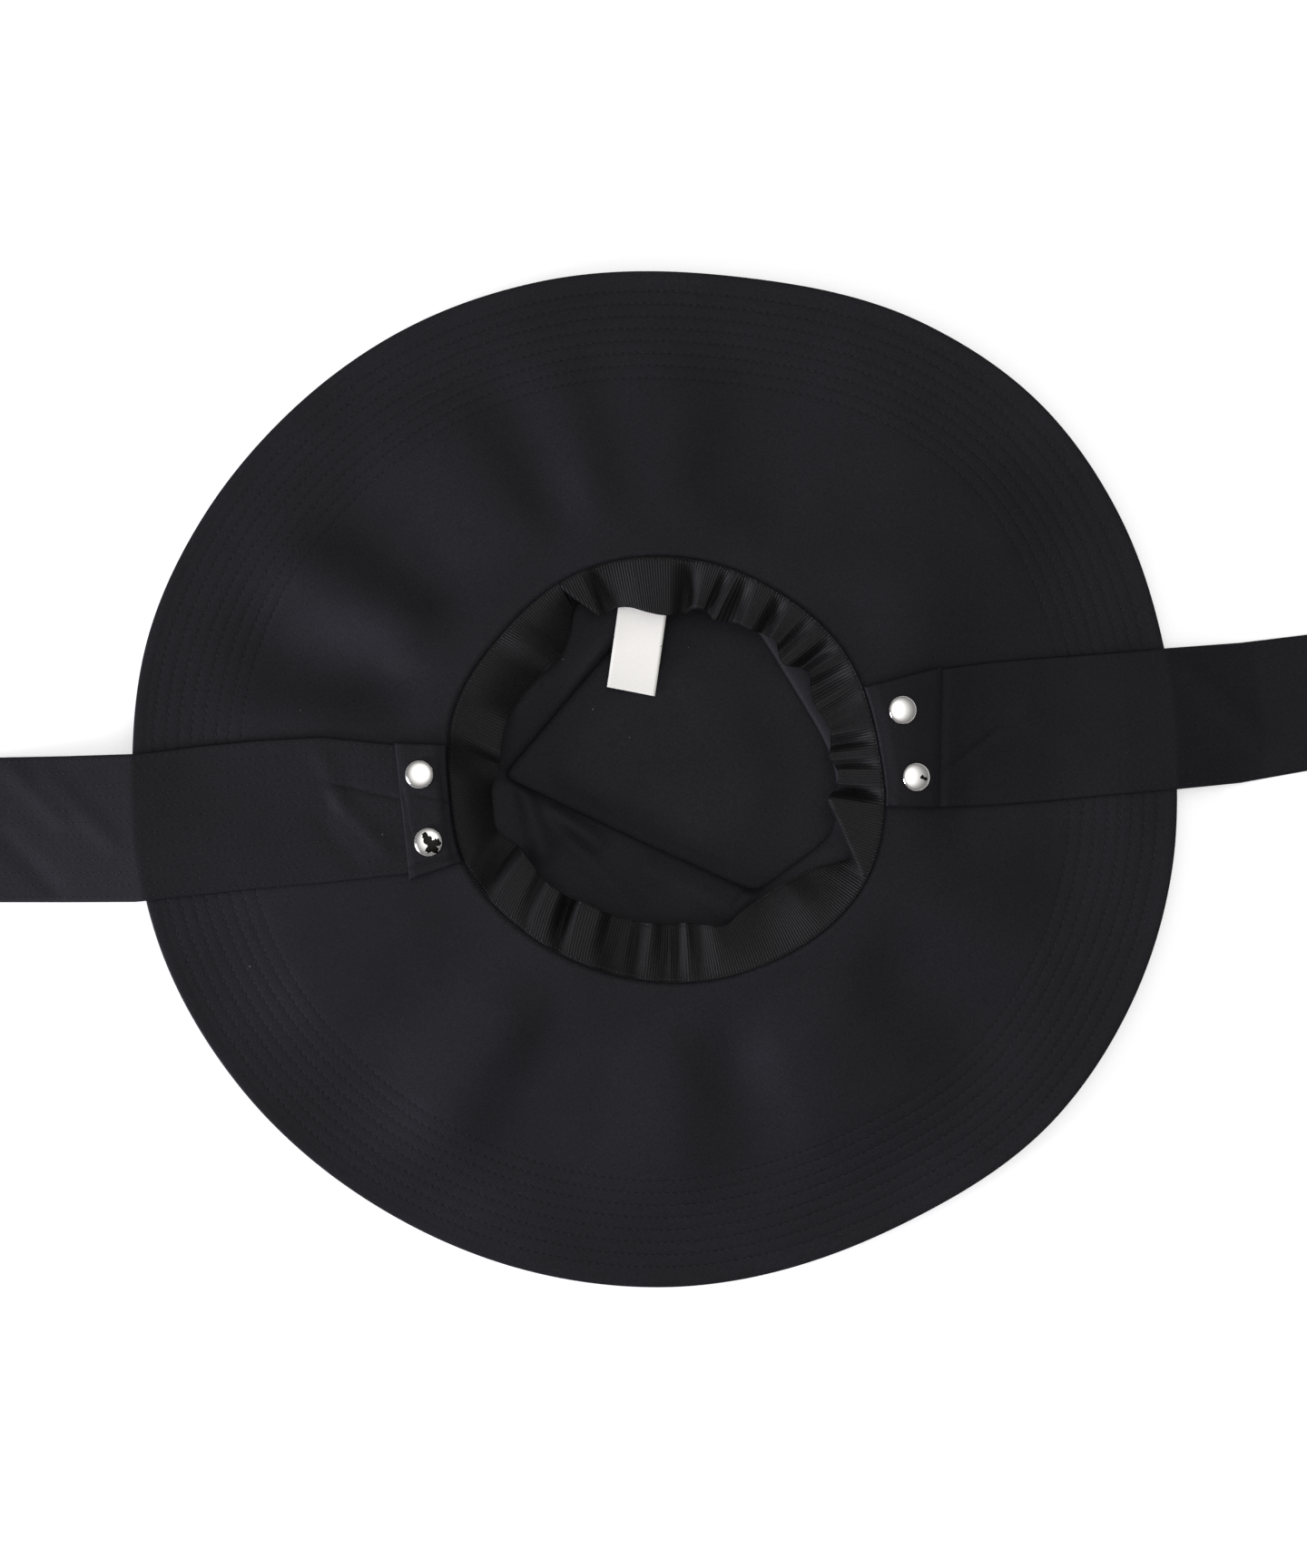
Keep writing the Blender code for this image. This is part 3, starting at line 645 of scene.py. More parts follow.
def crease_radius(angle):
    """Distance to the folded edges: the nearest straight one, with rounded corners."""
    total = 0
    for crease in CREASES:
        facing = np.clip(np.cos(np.radians(angle - crease.angle)), 0, 1)
        total = total + (facing / crease.distance) ** CORNER_ROUNDING
    return total ** (-1 / CORNER_ROUNDING)


def tip_rise(x, y):
    """Rise of the tip's middle above its flat edge, which lies under the folds."""
    rise = TIP_PUFF
    for crease in CREASES:
        turn = math.radians(crease.angle)
        from_fold = crease.distance - x * math.cos(turn) - y * math.sin(turn)
        rise = rise * smooth_step(from_fold / crease.reach)
    return rise


def rim_radius(angle):
    """Distance from the middle of the opening to the rim of the crown's tip."""
    turn = np.radians(angle)
    along = TIP_CENTRE[0] * np.cos(turn) + TIP_CENTRE[1] * np.sin(turn)
    aside = TIP_CENTRE[0] * np.sin(turn) - TIP_CENTRE[1] * np.cos(turn)
    return along + np.sqrt(TIP_RADIUS**2 - aside**2)


def b_spline(control, steps):
    """A smooth curve that follows control points stacked along the first axis."""
    points = np.concatenate([control[:1], control[:1], control, control[-1:], control[-1:]])
    curve = []
    for first in range(len(points) - 3):
        for t in np.arange(steps) / steps:
            weights = (
                (1 - t) ** 3 / 6,
                (3 * t**3 - 6 * t**2 + 4) / 6,
                (-3 * t**3 + 3 * t**2 + 3 * t + 1) / 6,
                t**3 / 6,
            )
            curve.append(sum(w * points[first + i] for i, w in enumerate(weights)))
    curve.append(points[-1])
    return np.stack(curve)


def fold_rise(x, y, folds):
    """Rise of soft folds in the cloth: each a ridge or dent along a line, steeper on one side."""
    total = 0
    for fold in folds:
        run = np.subtract(fold.end, fold.start)
        length = np.hypot(*run)
        along = ((x - fold.start[0]) * run[0] + (y - fold.start[1]) * run[1]) / length
        aside = ((y - fold.start[1]) * run[0] - (x - fold.start[0]) * run[1]) / length
        width = np.where(aside > 0, fold.left, fold.right)
        beyond = np.maximum(0, np.maximum(-along, along - length)) / FOLD_ENDS
        total = total + fold.rise * np.exp(-((aside / width) ** 2) - beyond**2)
    return total


def crown_grid(angle):
    """Points of the crown side's middle, from the rim of the tip to the seam."""
    seam = seam_radius(angle) - WALL_INSET
    crease = crease_radius(angle)
    belly = BELLY * smooth_step((crease - BELLY_FROM) / (BELLY_FULL - BELLY_FROM))
    section = [
        (rim_radius(angle), RIM_HEIGHT),
        (crease + FOLD_FOOT, FOLD_FOOT_HEIGHT),
        (crease, CREASE_HEIGHT),
        (crease + FOLD_SHOULDER, SHOULDER_HEIGHT),
    ]
    for row in reversed(ABOVE_FOLD):
        section.append((crease + row.share * (seam - crease) + row.belly * belly, row.height))
    control = np.stack([polar(angle, radius, height) for radius, height in section])
    grid = b_spline(control, CROWN_STEPS)
    upper_side = smooth_step((grid[..., 2] - CREASE_HEIGHT) / (SHOULDER_HEIGHT - CREASE_HEIGHT))
    grid[..., 2] += fold_rise(grid[..., 0], grid[..., 1], CROWN_FOLDS) * upper_side
    return grid


def slope_along(grid, axis, wraps=False):
    """Difference between the neighbours of each point along one axis of a grid."""
    if wraps:
        return np.roll(grid, -1, axis) - np.roll(grid, 1, axis)
    return np.gradient(grid, axis=axis)


def normals_of(grid, wraps=False):
    """Unit normals of a grid of points. They point up where rows go outward."""
    along = slope_along(grid, 0)
    across = slope_along(grid, 1, wraps)
    normal = np.cross(along, across)
    return normal / np.linalg.norm(normal, axis=-1, keepdims=True)


def grid_quads(numbers, wraps=False):
    """Quads between the points of a grid, given the grid of their numbers."""
    if wraps:
        numbers = np.concatenate([numbers, numbers[:, :1]], axis=1)
    corners = [numbers[:-1, :-1], numbers[1:, :-1], numbers[1:, 1:], numbers[:-1, 1:]]
    return np.stack(corners, axis=-1).reshape(-1, 4)


def new_object(name, data):
    thing = bpy.data.objects.new(name, data)
    bpy.context.scene.collection.objects.link(thing)
    return thing


def new_piece(name, finish, points, faces):
    """A smooth mesh object that rides on the hat."""
    mesh = bpy.data.meshes.new(name)
    mesh.from_pydata(np.asarray(points, float).tolist(), [], [list(map(int, f)) for f in faces])
    mesh.shade_smooth()
    mesh.materials.append(materials[finish])
    piece = new_object(name, mesh)
    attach(piece, "root")
    return piece


def new_shell(name, finish, middle, normals, front, back, wraps=False, centre_open=True):
    """A closed cloth shell: the middle grid moved out by front and back along its normals."""
    rows, columns = middle.shape[:2]
    upper = middle + normals * np.broadcast_to(front, (rows, columns))[..., None]
    lower = middle - normals * np.broadcast_to(back, (rows, columns))[..., None]
    points = np.concatenate([upper.reshape(-1, 3), lower.reshape(-1, 3)])
    top = np.arange(rows * columns).reshape(rows, columns)
    bottom = top + rows * columns
    faces = [grid_quads(top, wraps), grid_quads(bottom, wraps)[:, ::-1]]
    faces.append(grid_quads(np.stack([top[-1], bottom[-1]]), wraps))
    if centre_open:
        faces.append(grid_quads(np.stack([bottom[0], top[0]]), wraps))
    if not wraps:
        faces.append(grid_quads(np.stack([top[:, 0], bottom[:, 0]])))
        faces.append(grid_quads(np.stack([bottom[:, -1], top[:, -1]])))
    faces = np.concatenate(faces).tolist()
    if not centre_open:
        faces += [top[0].tolist(), bottom[0][::-1].tolist()]
    return new_piece(name, finish, points, faces)


def rounded(distance, rounding):
    """Share of the full half thickness at this distance in from a rounded edge."""
    inside = np.clip(distance / rounding, 0, 1)
    return EDGE_LEAST_SHARE + (1 - EDGE_LEAST_SHARE) * np.sqrt(1 - (1 - inside) ** 2)


def groove(distance):
    """Depth of the dent that a row of stitches makes, at this distance from the row."""
    return GROOVE_DEPTH * np.exp(-((distance / GROOVE_WIDTH) ** 2))


def stitch_points(line, normals, sides, sewing, closed):
    """Threads laid along a line of points: one short rounded bar for each stitch."""
    if closed:
        line = np.concatenate([line, line[:1]])
        normals = np.concatenate([normals, normals[:1]])
    steps = np.linalg.norm(np.diff(line, axis=0), axis=1)
    reach = np.concatenate([[0], np.cumsum(steps)])
    count = max(1, round(reach[-1] / sewing.pitch))
    middles = (np.arange(count) + 0.5) * reach[-1] / count

    def at(values, places):
        return np.stack([np.interp(places, reach, values[:, i]) for i in range(3)], axis=-1)

    tangent = at(line, middles + sewing.length / 2) - at(line, middles - sewing.length / 2)
    tangent /= np.linalg.norm(tangent, axis=1, keepdims=True)
    up = at(normals, middles)
    aside = np.cross(tangent, up)
    rings = []
    for ring in STITCH_RINGS:
        centre = at(line, middles + ring.along * sewing.length) + up * ring.lift * sewing.radius
        for turn in math.tau * np.arange(sides) / sides:
            out = aside * math.cos(turn) + up * math.sin(turn)
            rings.append(centre + out * ring.width * sewing.radius)
    return np.stack(rings, axis=1)


def new_stitches(name, sewing, lines, sides, closed=False):
    """One piece of all the stitches along these (points, normals) lines."""
    bars = np.concatenate([stitch_points(*line, sides, sewing, closed) for line in lines])
    count, size = bars.shape[:2]
    rings = np.arange(size).reshape(-1, sides)
    quads = grid_quads(rings, wraps=True)
    starts = np.arange(count)[:, None, None] * size
    sides_of_bars = (quads[None] + starts).reshape(-1, 4).tolist()
    caps = [rings[0], rings[-1][::-1]]
    ends = [(cap + start).tolist() for start in np.arange(count) * size for cap in caps]
    return new_piece(name, sewing.finish, bars.reshape(-1, 3), sides_of_bars + ends)


def fill(node, name, value):
    """Give an input of a node a plain value, or link it to another node's output."""
    if isinstance(value, bpy.types.NodeSocket):
        node.id_data.links.new(value, node.inputs[name])
    else:
        node.inputs[name].default_value = value


def add_node(tree, kind, *values, operation=None, **inputs):
    """A shader node with its inputs filled in their order, or by name with _ for a space."""
    node = tree.nodes.new("ShaderNode" + kind)
    if operation:
        node.operation = operation
    for number, value in enumerate(values):
        fill(node, number, value)
    for name, value in inputs.items():
        fill(node, name.replace("_", " "), value)
    return node


def map_range(tree, value, low, high, value_low=0.0, value_high=1.0):
    """A value from its own range moved into the range from low to high, and kept inside it."""
    ranges = {"From_Min": value_low, "From_Max": value_high, "To_Min": low, "To_Max": high}
    return add_node(tree, "MapRange", Value=value, **ranges).outputs["Result"]


def mix_colours(tree, factor, first, second):
    """The first colour where the factor is 0, and the second where it is 1."""
    node = tree.nodes.new("ShaderNodeMix")
    node.data_type = "RGBA"
    fill(node, "Factor", factor)
    fill(node, "A", first)
    fill(node, "B", second)
    return node.outputs["Result"]


def new_material(name):
    material = bpy.data.materials.new(name)
    material.use_nodes = True
    return material, material.node_tree, material.node_tree.nodes["Principled BSDF"]


def weave_height(tree, place):
    """Height of the threads, which run both ways."""
    threads = []
    for scale in THREAD_SCALES:
        mapping = add_node(tree, "Mapping", Vector=place, Scale=scale)
        stretched = mapping.outputs["Vector"]
        noise = add_node(tree, "TexNoise", Vector=stretched, Scale=1.0, Detail=THREAD_DETAIL)
        threads.append(noise.outputs["Fac"])
    return add_node(tree, "Math", *threads, operation="ADD").outputs["Value"]


def new_cloth(name):
    """Woven cloth: fine threads both ways, faint patches of tone, and a few specks of lint."""
    finish = FINISHES[name]
    material, tree, shader = new_material(name)
    place = add_node(tree, "TexCoord").outputs["Object"]
    weave = weave_height(tree, place)
    bump = add_node(tree, "Bump", Height=weave, Distance=finish.grain, Strength=1.0)

    patches = add_node(tree, "TexNoise", Vector=place, Scale=PATCH_SCALE, Detail=PATCH_DETAIL)
    most = PATCH_TONE * finish.mottle
    patch_tone = map_range(tree, patches.outputs["Fac"], 1 - most, 1 + most, *PATCH_RANGE)
    most = WEAVE_TONE * finish.mottle
    weave_tone = map_range(tree, weave, 1 - most, 1 + most, *WEAVE_RANGE)
    tone = add_node(tree, "Math", patch_tone, weave_tone, operation="MULTIPLY").outputs["Value"]
    toned = add_node(tree, "VectorMath", finish.colour, operation="SCALE", Scale=tone)

    specks = add_node(tree, "TexVoronoi", Vector=place, Scale=LINT_SCALE)
    lint = add_node(tree, "Math", specks.outputs["Distance"], LINT_SIZE, operation="LESS_THAN")
    colour = mix_colours(tree, lint.outputs["Value"], toned.outputs["Vector"], LINT_COLOUR)
    fill(shader, "Base Color", colour)
    fill(shader, "Roughness", finish.roughness)
    fill(shader, "Specular IOR Level", finish.specular)
    fill(shader, "Normal", bump.outputs["Normal"])
    return material


def chrome_with_painted_reflections(tree, place, haze):
    """Colour of the chrome, with dark reflections painted on it as colour, whose edges the haze makes
    ragged.
    """
    plan = add_node(tree, "VectorMath", place, (1, 1, 0), operation="MULTIPLY").outputs["Vector"]
    ragged = map_range(tree, haze, -PAINTED_REFLECTION_RAGGEDNESS, PAINTED_REFLECTION_RAGGEDNESS)
    colour = CHROME_COLOUR
    # Each circle is a painted dark reflection: the chrome's colour is darkened inside it
    for reflection in PAINTED_REFLECTIONS:
        apart = add_node(tree, "VectorMath", plan, (reflection.x, reflection.y, 0), operation="DISTANCE")
        edge = add_node(tree, "Math", apart.outputs["Value"], ragged, operation="ADD")
        inside = add_node(tree, "Math", edge.outputs["Value"], reflection.radius, operation="LESS_THAN")
        colour = mix_colours(tree, inside.outputs["Value"], colour, PAINTED_REFLECTION_COLOUR)
    return colour


def new_chrome():
    material, tree, shader = new_material("snap_metal")
    place = add_node(tree, "TexCoord").outputs["Object"]
    noise = add_node(tree, "TexNoise", Vector=place, Scale=HAZE_SCALE, Detail=HAZE_DETAIL)
    haze = noise.outputs["Fac"]
    fill(shader, "Metallic", 1.0)
    fill(shader, "Roughness", map_range(tree, haze, *CHROME_ROUGHNESS))
    fill(shader, "Base Color", chrome_with_painted_reflections(tree, place, haze))
    return material


def make_camera():
    data = bpy.data.cameras.new("camera")
    data.lens = CAMERA_LENS
    data.sensor_width = CAMERA_SENSOR
    camera = new_object("camera", data)
    camera.location = CAMERA_PLACE
    bpy.context.scene.camera = camera
    bpy.context.scene.view_settings.view_transform = "Standard"


def make_floor():
    """A matt white floor that glows a little."""
    material, tree, shader = new_material("floor")
    fill(shader, "Base Color", (FLOOR_ALBEDO, FLOOR_ALBEDO, FLOOR_ALBEDO, 1))
    fill(shader, "Roughness", 1.0)
    fill(shader, "Specular IOR Level", 0.0)
    fill(shader, "Emission Color", WHITE)
    fill(shader, "Emission Strength", FLOOR_GLOW)
    mesh = bpy.data.meshes.new("floor")
    half = FLOOR_SIZE / 2
    corners = [(-half, -half), (half, -half), (half, half), (-half, half)]
    mesh.from_pydata([(x, y, -FLOOR_DROP) for x, y in corners], [], [(0, 1, 2, 3)])
    mesh.materials.append(material)
    floor = new_object("floor", mesh)


def make_sky():
    """A soft sky that is brightest around one direction."""
    world = bpy.data.worlds.new("studio")
    world.use_nodes = True
    bpy.context.scene.world = world
    tree = world.node_tree
    direction = add_node(tree, "TexCoord").outputs["Generated"]
    brightest = Vector(SKY_DIRECTION).normalized()
    toward = add_node(tree, "VectorMath", direction, brightest, operation="DOT_PRODUCT")
    ahead = add_node(tree, "Math", toward.outputs["Value"], 0.0, operation="MAXIMUM")
    near = add_node(tree, "Math", ahead.outputs["Value"], SKY_FALLOFF, operation="POWER")
    strength = map_range(tree, near.outputs["Value"], SKY_REST, SKY_BRIGHTEST)
    fill(tree.nodes["Background"], "Strength", strength)
    fill(tree.nodes["Background"], "Color", WHITE)


def make_side_light():
    """A large soft light, low on the left."""
    light = bpy.data.lights.new("side_light", "AREA")
    light.shape = "RECTANGLE"
    light.size, light.size_y = SIDE_LIGHT_SIZE
    light.energy = SIDE_LIGHT_POWER
    light.color = SIDE_LIGHT_COLOUR
    lamp = new_object("side_light", light)
    lamp.location = SIDE_LIGHT_PLACE
    lamp.rotation_euler = (-Vector(SIDE_LIGHT_PLACE)).to_track_quat("-Z", "Y").to_euler()


def stitch_row_places():
    """Distances of the brim's stitch rows in from its edge."""
    return FIRST_STITCH_ROW + STITCH_ROW_PITCH * np.arange(STITCH_ROWS)


def brim_edge_distances():
    """Distances in from the edge at which the stitched border has a row of points."""
    near_rows = stitch_row_places()[:, None] + GROOVE_WIDTH * np.array(GROOVE_POINTS)
    return np.concatenate([BRIM_EDGE_POINTS, near_rows.ravel()])


def brim_relief(distance):
    """How far the brim's cloth stands out at this distance in from its edge."""
    relief = HEM_RISE * smooth_step((HEM_WIDTH - distance) / HEM_STEP)
    for place in stitch_row_places():
        relief = relief - groove(distance - place)
    return relief


def make_brim():
    angle = angles_around(BRIM_COLUMNS)
    seam = seam_radius(angle) + GAP
    edge = edge_radius(angle)
    border = brim_edge_distances()[::-1, None]
    share = np.linspace(0, 1, BRIM_INNER_ROWS)[:-1, None]
    inner = seam + (edge - border[0] - seam) * share
    radius = np.concatenate([inner, edge - border])
    distance = edge - radius
    middle = polar(angle, radius, brim_height(angle, radius))
    normals = normals_of(middle, wraps=True)
    half = BRIM_THICKNESS / 2 * rounded(distance, EDGE_ROUNDING) + brim_relief(distance)
    brim = new_shell("brim_cloth", "brim_cloth", middle, normals, half, half, wraps=True)
    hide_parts("brim")
    for name, way, sides in (("inside", 1, UPPER_SIDES), ("outside", -1, LOWER_SIDES)):
        lines = []
        for place in stitch_row_places():
            row = np.abs(distance[:, 0] - place).argmin()
            outward = way * normals[row]
            lines.append((middle[row] + outward * (BRIM_THICKNESS / 2 - GROOVE_DEPTH), outward))
        stitches = new_stitches("brim_stitches_" + name, BRIM_SEWING, lines, sides, closed=True)


def make_crown_side():
    middle = crown_grid(angles_around(CROWN_COLUMNS))
    normals = normals_of(middle, wraps=True)
    half = CROWN_THICKNESS / 2
    crown = new_shell("crown_wall", "crown_cloth", middle, normals, half, half, wraps=True)
    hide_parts("crown_side")


def make_crown_tip():
    even_rows = np.linspace(*TIP_ROWS_SPAN, TIP_ROWS)
    radius = TIP_RADIUS * np.concatenate([[TIP_MIDDLE_SHARE], even_rows, TIP_RIM_SHARES])[:, None]
    middle = polar(angles_around(TIP_COLUMNS), radius, TIP_THICKNESS / 2) + np.array([*TIP_CENTRE, 0])
    middle[..., 2] += tip_rise(middle[..., 0], middle[..., 1])
    normals = normals_of(middle, wraps=True)
    half = TIP_THICKNESS / 2 * rounded(TIP_RADIUS - radius, EDGE_ROUNDING)
    tip = new_shell(
        "crown_top", "crown_cloth", middle, normals, half, half, wraps=True, centre_open=False
    )
    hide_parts("crown_tip")


def line_radius(angle, start, end):
    """Distance from the middle, at each angle, of the straight line between two polar points."""
    first, last = polar(start[0], start[1], 0)[:2], polar(end[0], end[1], 0)[:2]
    cross = first[0] * last[1] - first[1] * last[0]
    run = last - first
    turn = np.radians(angle)
    return cross / (np.cos(turn) * run[1] - np.sin(turn) * run[0])


def ribbon_grid(angle):
    """Points of the ribbon's middle, from its inner edge to the seam."""
    along = np.linspace(1, 0, RIBBON_STEPS)[:, None]
    outer = seam_radius(angle) + RIBBON_OVERLAP
    inner = pleat_radius(angle)
    top = SEAM_HEIGHT + BRIM_THICKNESS / 2 + RIBBON_GAP + SWEATBAND_THICKNESS / 2
    edge = pleat_height(angle)
    radius = outer + (inner - outer) * along
    height = top + (edge - top) * (1 - (1 - along) ** pleat_fall(angle))
    height = height + pleat_swell(angle) * np.sin(math.pi * along)
    for turn in TURNS:
        place = (angle - turn.seam_angle) / (turn.end_angle - turn.seam_angle)
        turned = (place > 0) & (place < 1)
        share = np.clip(place, TURN_LEAST_SHARE, TURN_MOST_SHARE)
        start = (turn.seam_angle, float(seam_radius(turn.seam_angle)))
        fold = line_radius(angle, start, (turn.end_angle, turn.end_radius))
        fold_height = top + (turn.end_height - top) * share
        before = np.clip(along / share, 0, 1)
        after = np.clip((along - share) / (1 - share), 0, 1)
        folded_radius = outer + (fold - outer) * before + (np.minimum(inner, fold) - fold) * after
        folded_height = top + (fold_height - top) * before + (edge - fold_height) * after
        radius = np.where(turned, folded_radius, radius)
        height = np.where(turned, folded_height, height)
    return polar(angle + pleat_lean(angle) * along, radius, height)


def make_sweatband():
    columns = RIBS * COLUMNS_PER_RIB
    angle = angles_around(columns)
    middle = ribbon_grid(angle)
    normals = normals_of(middle, wraps=True)
    steps = np.linalg.norm(np.diff(middle, axis=0), axis=-1)
    reach = np.concatenate([np.zeros((1, columns)), np.cumsum(steps, axis=0)])
    from_edge = np.minimum(reach, reach[-1] - reach)
    half = SWEATBAND_THICKNESS / 2 * rounded(from_edge, RIBBON_EDGE_ROUNDING)
    rib = np.abs(np.sin(math.pi * np.arange(columns) / COLUMNS_PER_RIB))
    join = RIBBON_JOIN_DEPTH * np.exp(-(((angle - RIBBON_JOIN_ANGLE) / RIBBON_JOIN_WIDTH) ** 2))
    front = half + RIB_RELIEF * (rib - 1) - join
    band = new_shell("ribbon_band", "ribbon", middle, normals, front, half, wraps=True)
    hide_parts("sweatband")
    sewn = normals[RIBBON_STITCH_ROW]
    line = (middle[RIBBON_STITCH_ROW] + sewn * SWEATBAND_THICKNESS / 2, sewn)
    stitches = new_stitches("ribbon_stitches", RIBBON_SEWING, [line], UPPER_SIDES, closed=True)


def seam_point(size, across, gap):
    """Points along the part of the seam where a tab is sewn in, from its lower to its upper end."""
    angle = size.seam_lower + (size.seam_upper - size.seam_lower) * across
    return polar(angle, seam_radius(angle) + gap, 0)[..., :2]


def tab_grid(side):
    """Points of a tab's middle, from the seam outward and from its lower to its upper edge."""
    size = TABS[side]
    steps, columns = TAB_GRID
    along = np.linspace(0, 1, steps)[:, None, None]
    across = np.linspace(0, 1, columns)
    lower = np.array(size.outer_lower)
    upper = np.array(size.outer_upper)
    outer = lower + (upper - lower) * across[:, None]
    point = seam_point(size, across, TAB_SEAM_GAP) * (1 - along) + outer * along
    return np.dstack([point, tab_height(point[..., 0], point[..., 1])])


def upward(normals):
    """The same normals, turned over if they point down."""
    return normals * np.sign(normals[..., 2].mean())


def edge_distances(grid):
    """Distance of each point of an open grid from its nearest edge."""
    length = np.linalg.norm(np.diff(grid, axis=0), axis=-1).mean(axis=1)
    width = np.linalg.norm(np.diff(grid, axis=1), axis=-1).mean(axis=0)
    down = np.concatenate([[0], np.cumsum(length)])
    over = np.concatenate([[0], np.cumsum(width)])
    to_ends = np.minimum(down, down[-1] - down)
    to_sides = np.minimum(over, over[-1] - over)
    return np.minimum(to_ends[:, None], to_sides[None, :])


def make_tab(side):
    middle = tab_grid(side)
    if side == "left":
        middle = middle[:, ::-1]
    normals = upward(normals_of(middle))
    distance = edge_distances(middle)
    half = TAB_THICKNESS / 2 * rounded(distance, EDGE_ROUNDING)
    to_edge = np.linalg.norm(middle - middle[-1], axis=-1)
    taper = TAB_EDGE_SHARE + (1 - TAB_EDGE_SHARE) * smooth_step(to_edge / TAB_EDGE_TAPER)
    front = half * taper - groove(distance - TAB_HEM) * TAB_GROOVE_SHARE
    from_seam = np.linalg.norm(middle - middle[0], axis=-1)
    back = half + TAB_SEAM_PADDING * (1 - smooth_step(from_seam / TAB_RAMP))
    tab = new_shell("tab_cloth_" + side, "tie_cloth", middle, normals, front, back)
    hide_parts("tab_" + side)


def tie_edges(rows, x):
    """Y of both edges of a tie at these places along X."""
    outward = sorted(rows, key=lambda row: row.x)
    stations = [row.x for row in outward]
    lower = np.interp(x, stations, [row.lower for row in outward])
    upper = np.interp(x, stations, [row.upper for row in outward])
    return lower, upper


def tie_columns(width):
    """Shares across a tie at which it has a column of points, and those of its stitch rows."""
    near_edge = np.array(TIE_EDGE_POINTS)
    inner = np.linspace(EDGE_ROUNDING, width - EDGE_ROUNDING, TIE_COLUMNS)
    rows = np.linspace(TIE_FIRST_STITCH_ROW, width - TIE_FIRST_STITCH_ROW, TIE_STITCH_ROWS)
    places = np.concatenate([near_edge, inner, width - near_edge[::-1]])
    return places / width, rows / width


def tie_grid(side, across):
    """Points of a tie's middle, from under its tab outward, at these shares across it."""
    rows = TIES[side]
    size = TABS[side]
    along = np.linspace(0, 1, TIE_STEPS)[:, None]
    share = TIE_INSET_SHARE + across * (1 - 2 * TIE_INSET_SHARE)
    inner = seam_point(size, share, TIE_INNER_END)
    tab_end = rows[0].x
    x = inner[:, 0] + (rows[-1].x - inner[:, 0]) * along
    lower, upper = tie_edges(rows, x)
    under_tab = smooth_step((x - inner[:, 0]) / (tab_end - inner[:, 0]))
    y = inner[:, 1] + (lower + (upper - lower) * across - inner[:, 1]) * under_tab
    return np.stack([x, y, tie_height(side, x, y)], axis=-1)


def make_tie(side):
    width = TIES[side][TIE_WIDTH_ROW].upper - TIES[side][TIE_WIDTH_ROW].lower
    across, stitched = tie_columns(width)
    middle = tie_grid(side, across)
    if side == "left":
        middle = middle[:, ::-1]
        across = across[::-1]
    normals = upward(normals_of(middle))
    half = TIE_THICKNESS / 2 * rounded(edge_distances(middle), EDGE_ROUNDING)
    tie = new_shell("tie_cloth_" + side, "tie_cloth", middle, normals, half, half)
    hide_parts("tie_" + side)
    for name, way, sides in (("front", 1, UPPER_SIDES), ("back", -1, LOWER_SIDES)):
        lines = []
        for share in stitched:
            column = np.abs(across - share).argmin()
            outward = way * normals[:, column]
            lines.append((middle[:, column] + outward * TIE_THICKNESS / 2, outward))
        stitches = new_stitches(f"tie_stitches_{side}_{name}", TIE_SEWING, lines, sides)


def snap_profile():
    """Half section of a snap, from the top of its cap down to the underside of its foot."""
    foot_top = TIE_LIFT - GAP - TAB_LIFT - TAB_THICKNESS - GAP
    profile = []
    for step in range(CAP_ARC_STEPS + 1):
        turn = math.pi / 2 * step / CAP_ARC_STEPS
        profile.append((CAP_RADIUS * math.sin(turn), CAP_RIM + CAP_RISE * math.cos(turn)))
    profile += [
        (CAP_RADIUS, CAP_CHAMFER_HEIGHT),
        (CAP_RADIUS - CAP_CHAMFER_WIDTH, 0),
        (POST_RADIUS, 0),
        (POST_RADIUS, foot_top),
        (FOOT_RADIUS, foot_top),
        (FOOT_RADIUS, foot_top - FOOT_THICKNESS),
        (0, foot_top - FOOT_THICKNESS),
    ]
    return profile


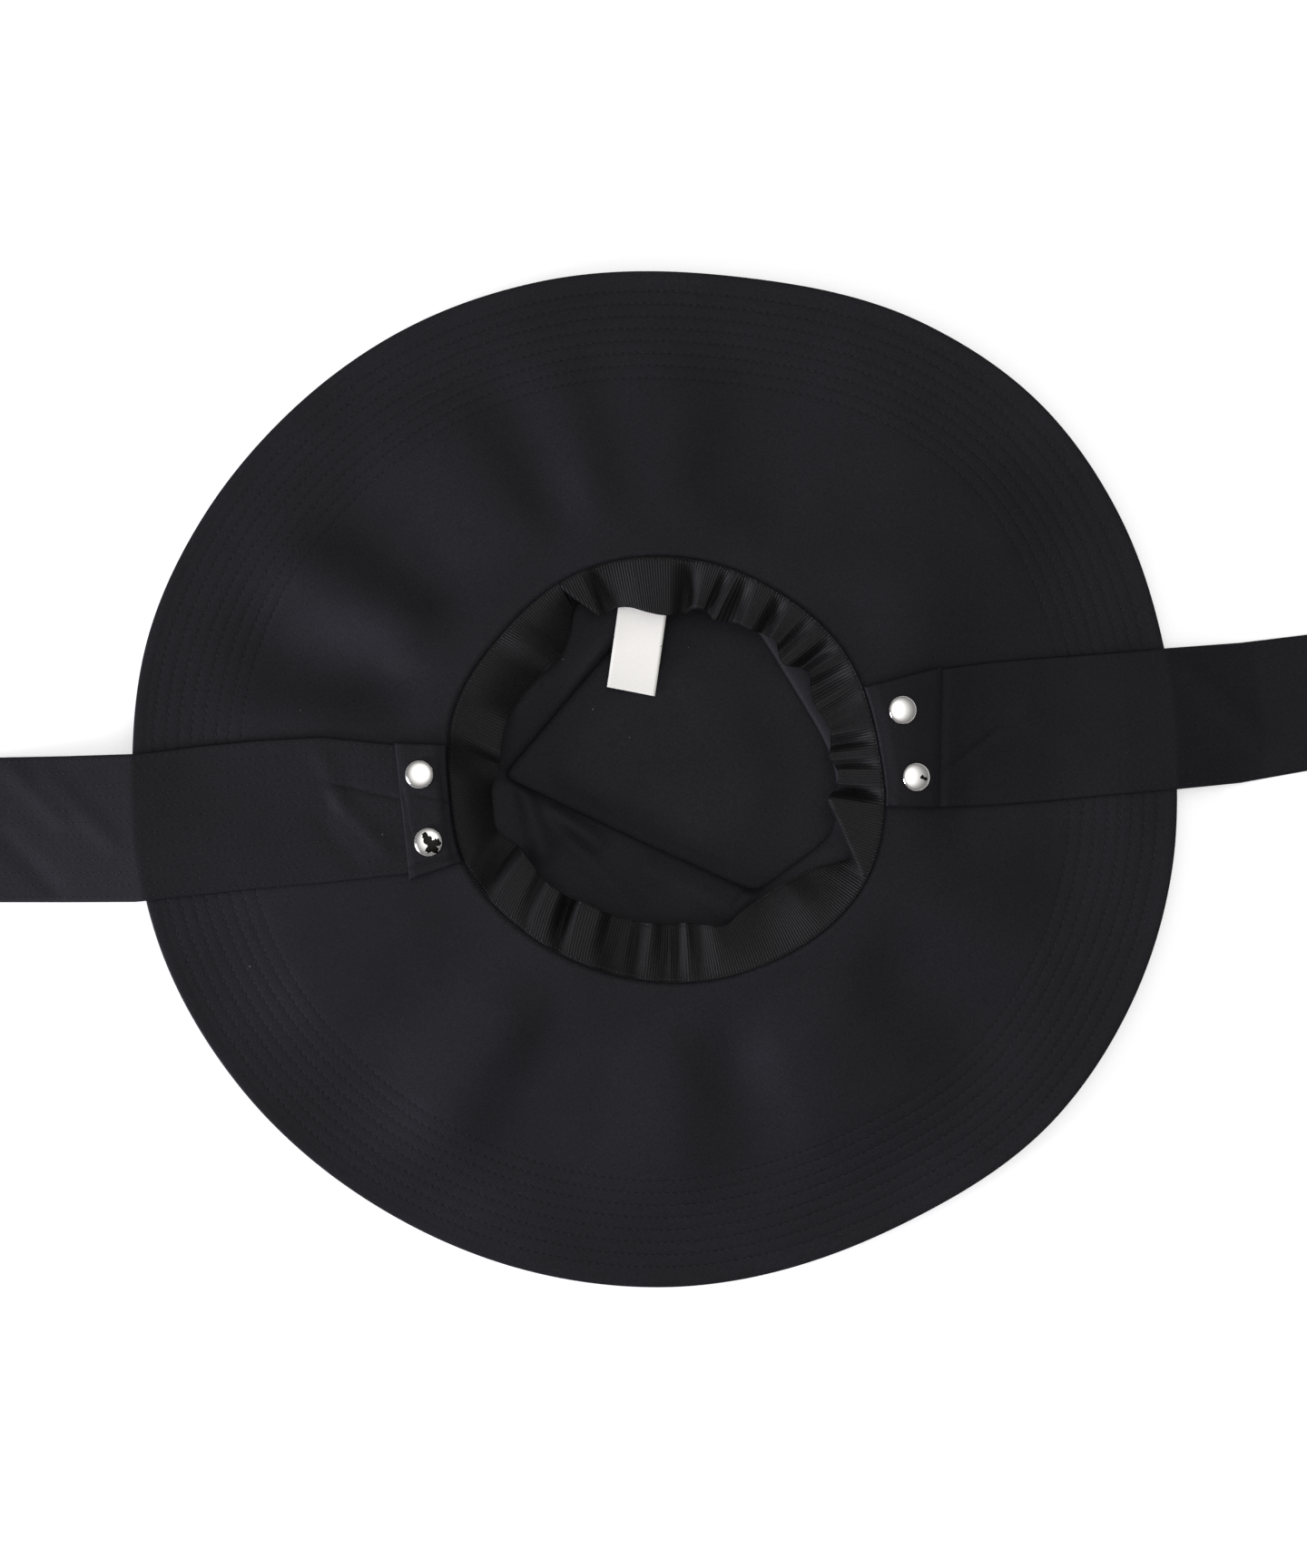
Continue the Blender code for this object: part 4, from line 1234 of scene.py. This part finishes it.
def make_snap(name, x, y):
    """A snap, turned around the brim's normal at its place."""
    rise_along_x = brim_top(x + CAP_RADIUS, y) - brim_top(x - CAP_RADIUS, y)
    rise_along_y = brim_top(x, y + CAP_RADIUS) - brim_top(x, y - CAP_RADIUS)
    normal = Vector((-rise_along_x, -rise_along_y, 2 * CAP_RADIUS)).normalized()
    centre = Vector((x, y, brim_top(x, y) + TAB_LIFT + TAB_THICKNESS)) + normal * GAP
    turned = np.array(normal.to_track_quat("Z", "Y").to_matrix())
    top, *section, bottom = snap_profile()
    rings = [polar(angles_around(SNAP_SEGMENTS), radius, height) for radius, height in section]
    points = np.concatenate([*rings, [(0, 0, top[1])], [(0, 0, bottom[1])]])
    points = points @ turned.T + np.array(centre)
    numbers = np.arange(len(rings) * SNAP_SEGMENTS).reshape(len(rings), SNAP_SEGMENTS)
    faces = grid_quads(numbers, wraps=True).tolist()
    for i in range(SNAP_SEGMENTS):
        after = (i + 1) % SNAP_SEGMENTS
        faces.append([numbers.size, numbers[0, i], numbers[0, after]])
        faces.append([numbers.size + 1, numbers[-1, after], numbers[-1, i]])
    snap = new_piece(name + "_metal", "snap_metal", points, faces)
    snap.data.set_sharp_from_angle(angle=math.radians(SNAP_SHARP_ANGLE))
    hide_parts(name)


def make_label():
    steps, columns = LABEL_GRID
    along = b_spline(np.array(LABEL), steps // len(LABEL))
    tilt = math.radians(LABEL_TILT)
    aside = np.array([math.cos(tilt), math.sin(tilt), 0]) * LABEL_WIDTH
    across = np.linspace(-0.5, 0.5, columns)[None, :, None]
    middle = along[:, None, :] + aside * across
    normals = upward(normals_of(middle))
    half = LABEL_THICKNESS / 2 * rounded(edge_distances(middle), LABEL_THICKNESS / 2)
    label = new_shell("label_strip", "label_cloth", middle, normals, half, half)
    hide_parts("label")


make_camera()
make_floor()
make_sky()
make_side_light()
materials = {name: new_cloth(name) for name in FINISHES}
materials["snap_metal"] = new_chrome()

make_brim()
make_crown_side()
make_crown_tip()
make_sweatband()
make_label()
for side in TABS:
    make_tab(side)
    make_tie(side)
for name, place in SNAPS.items():
    make_snap(name, *place)
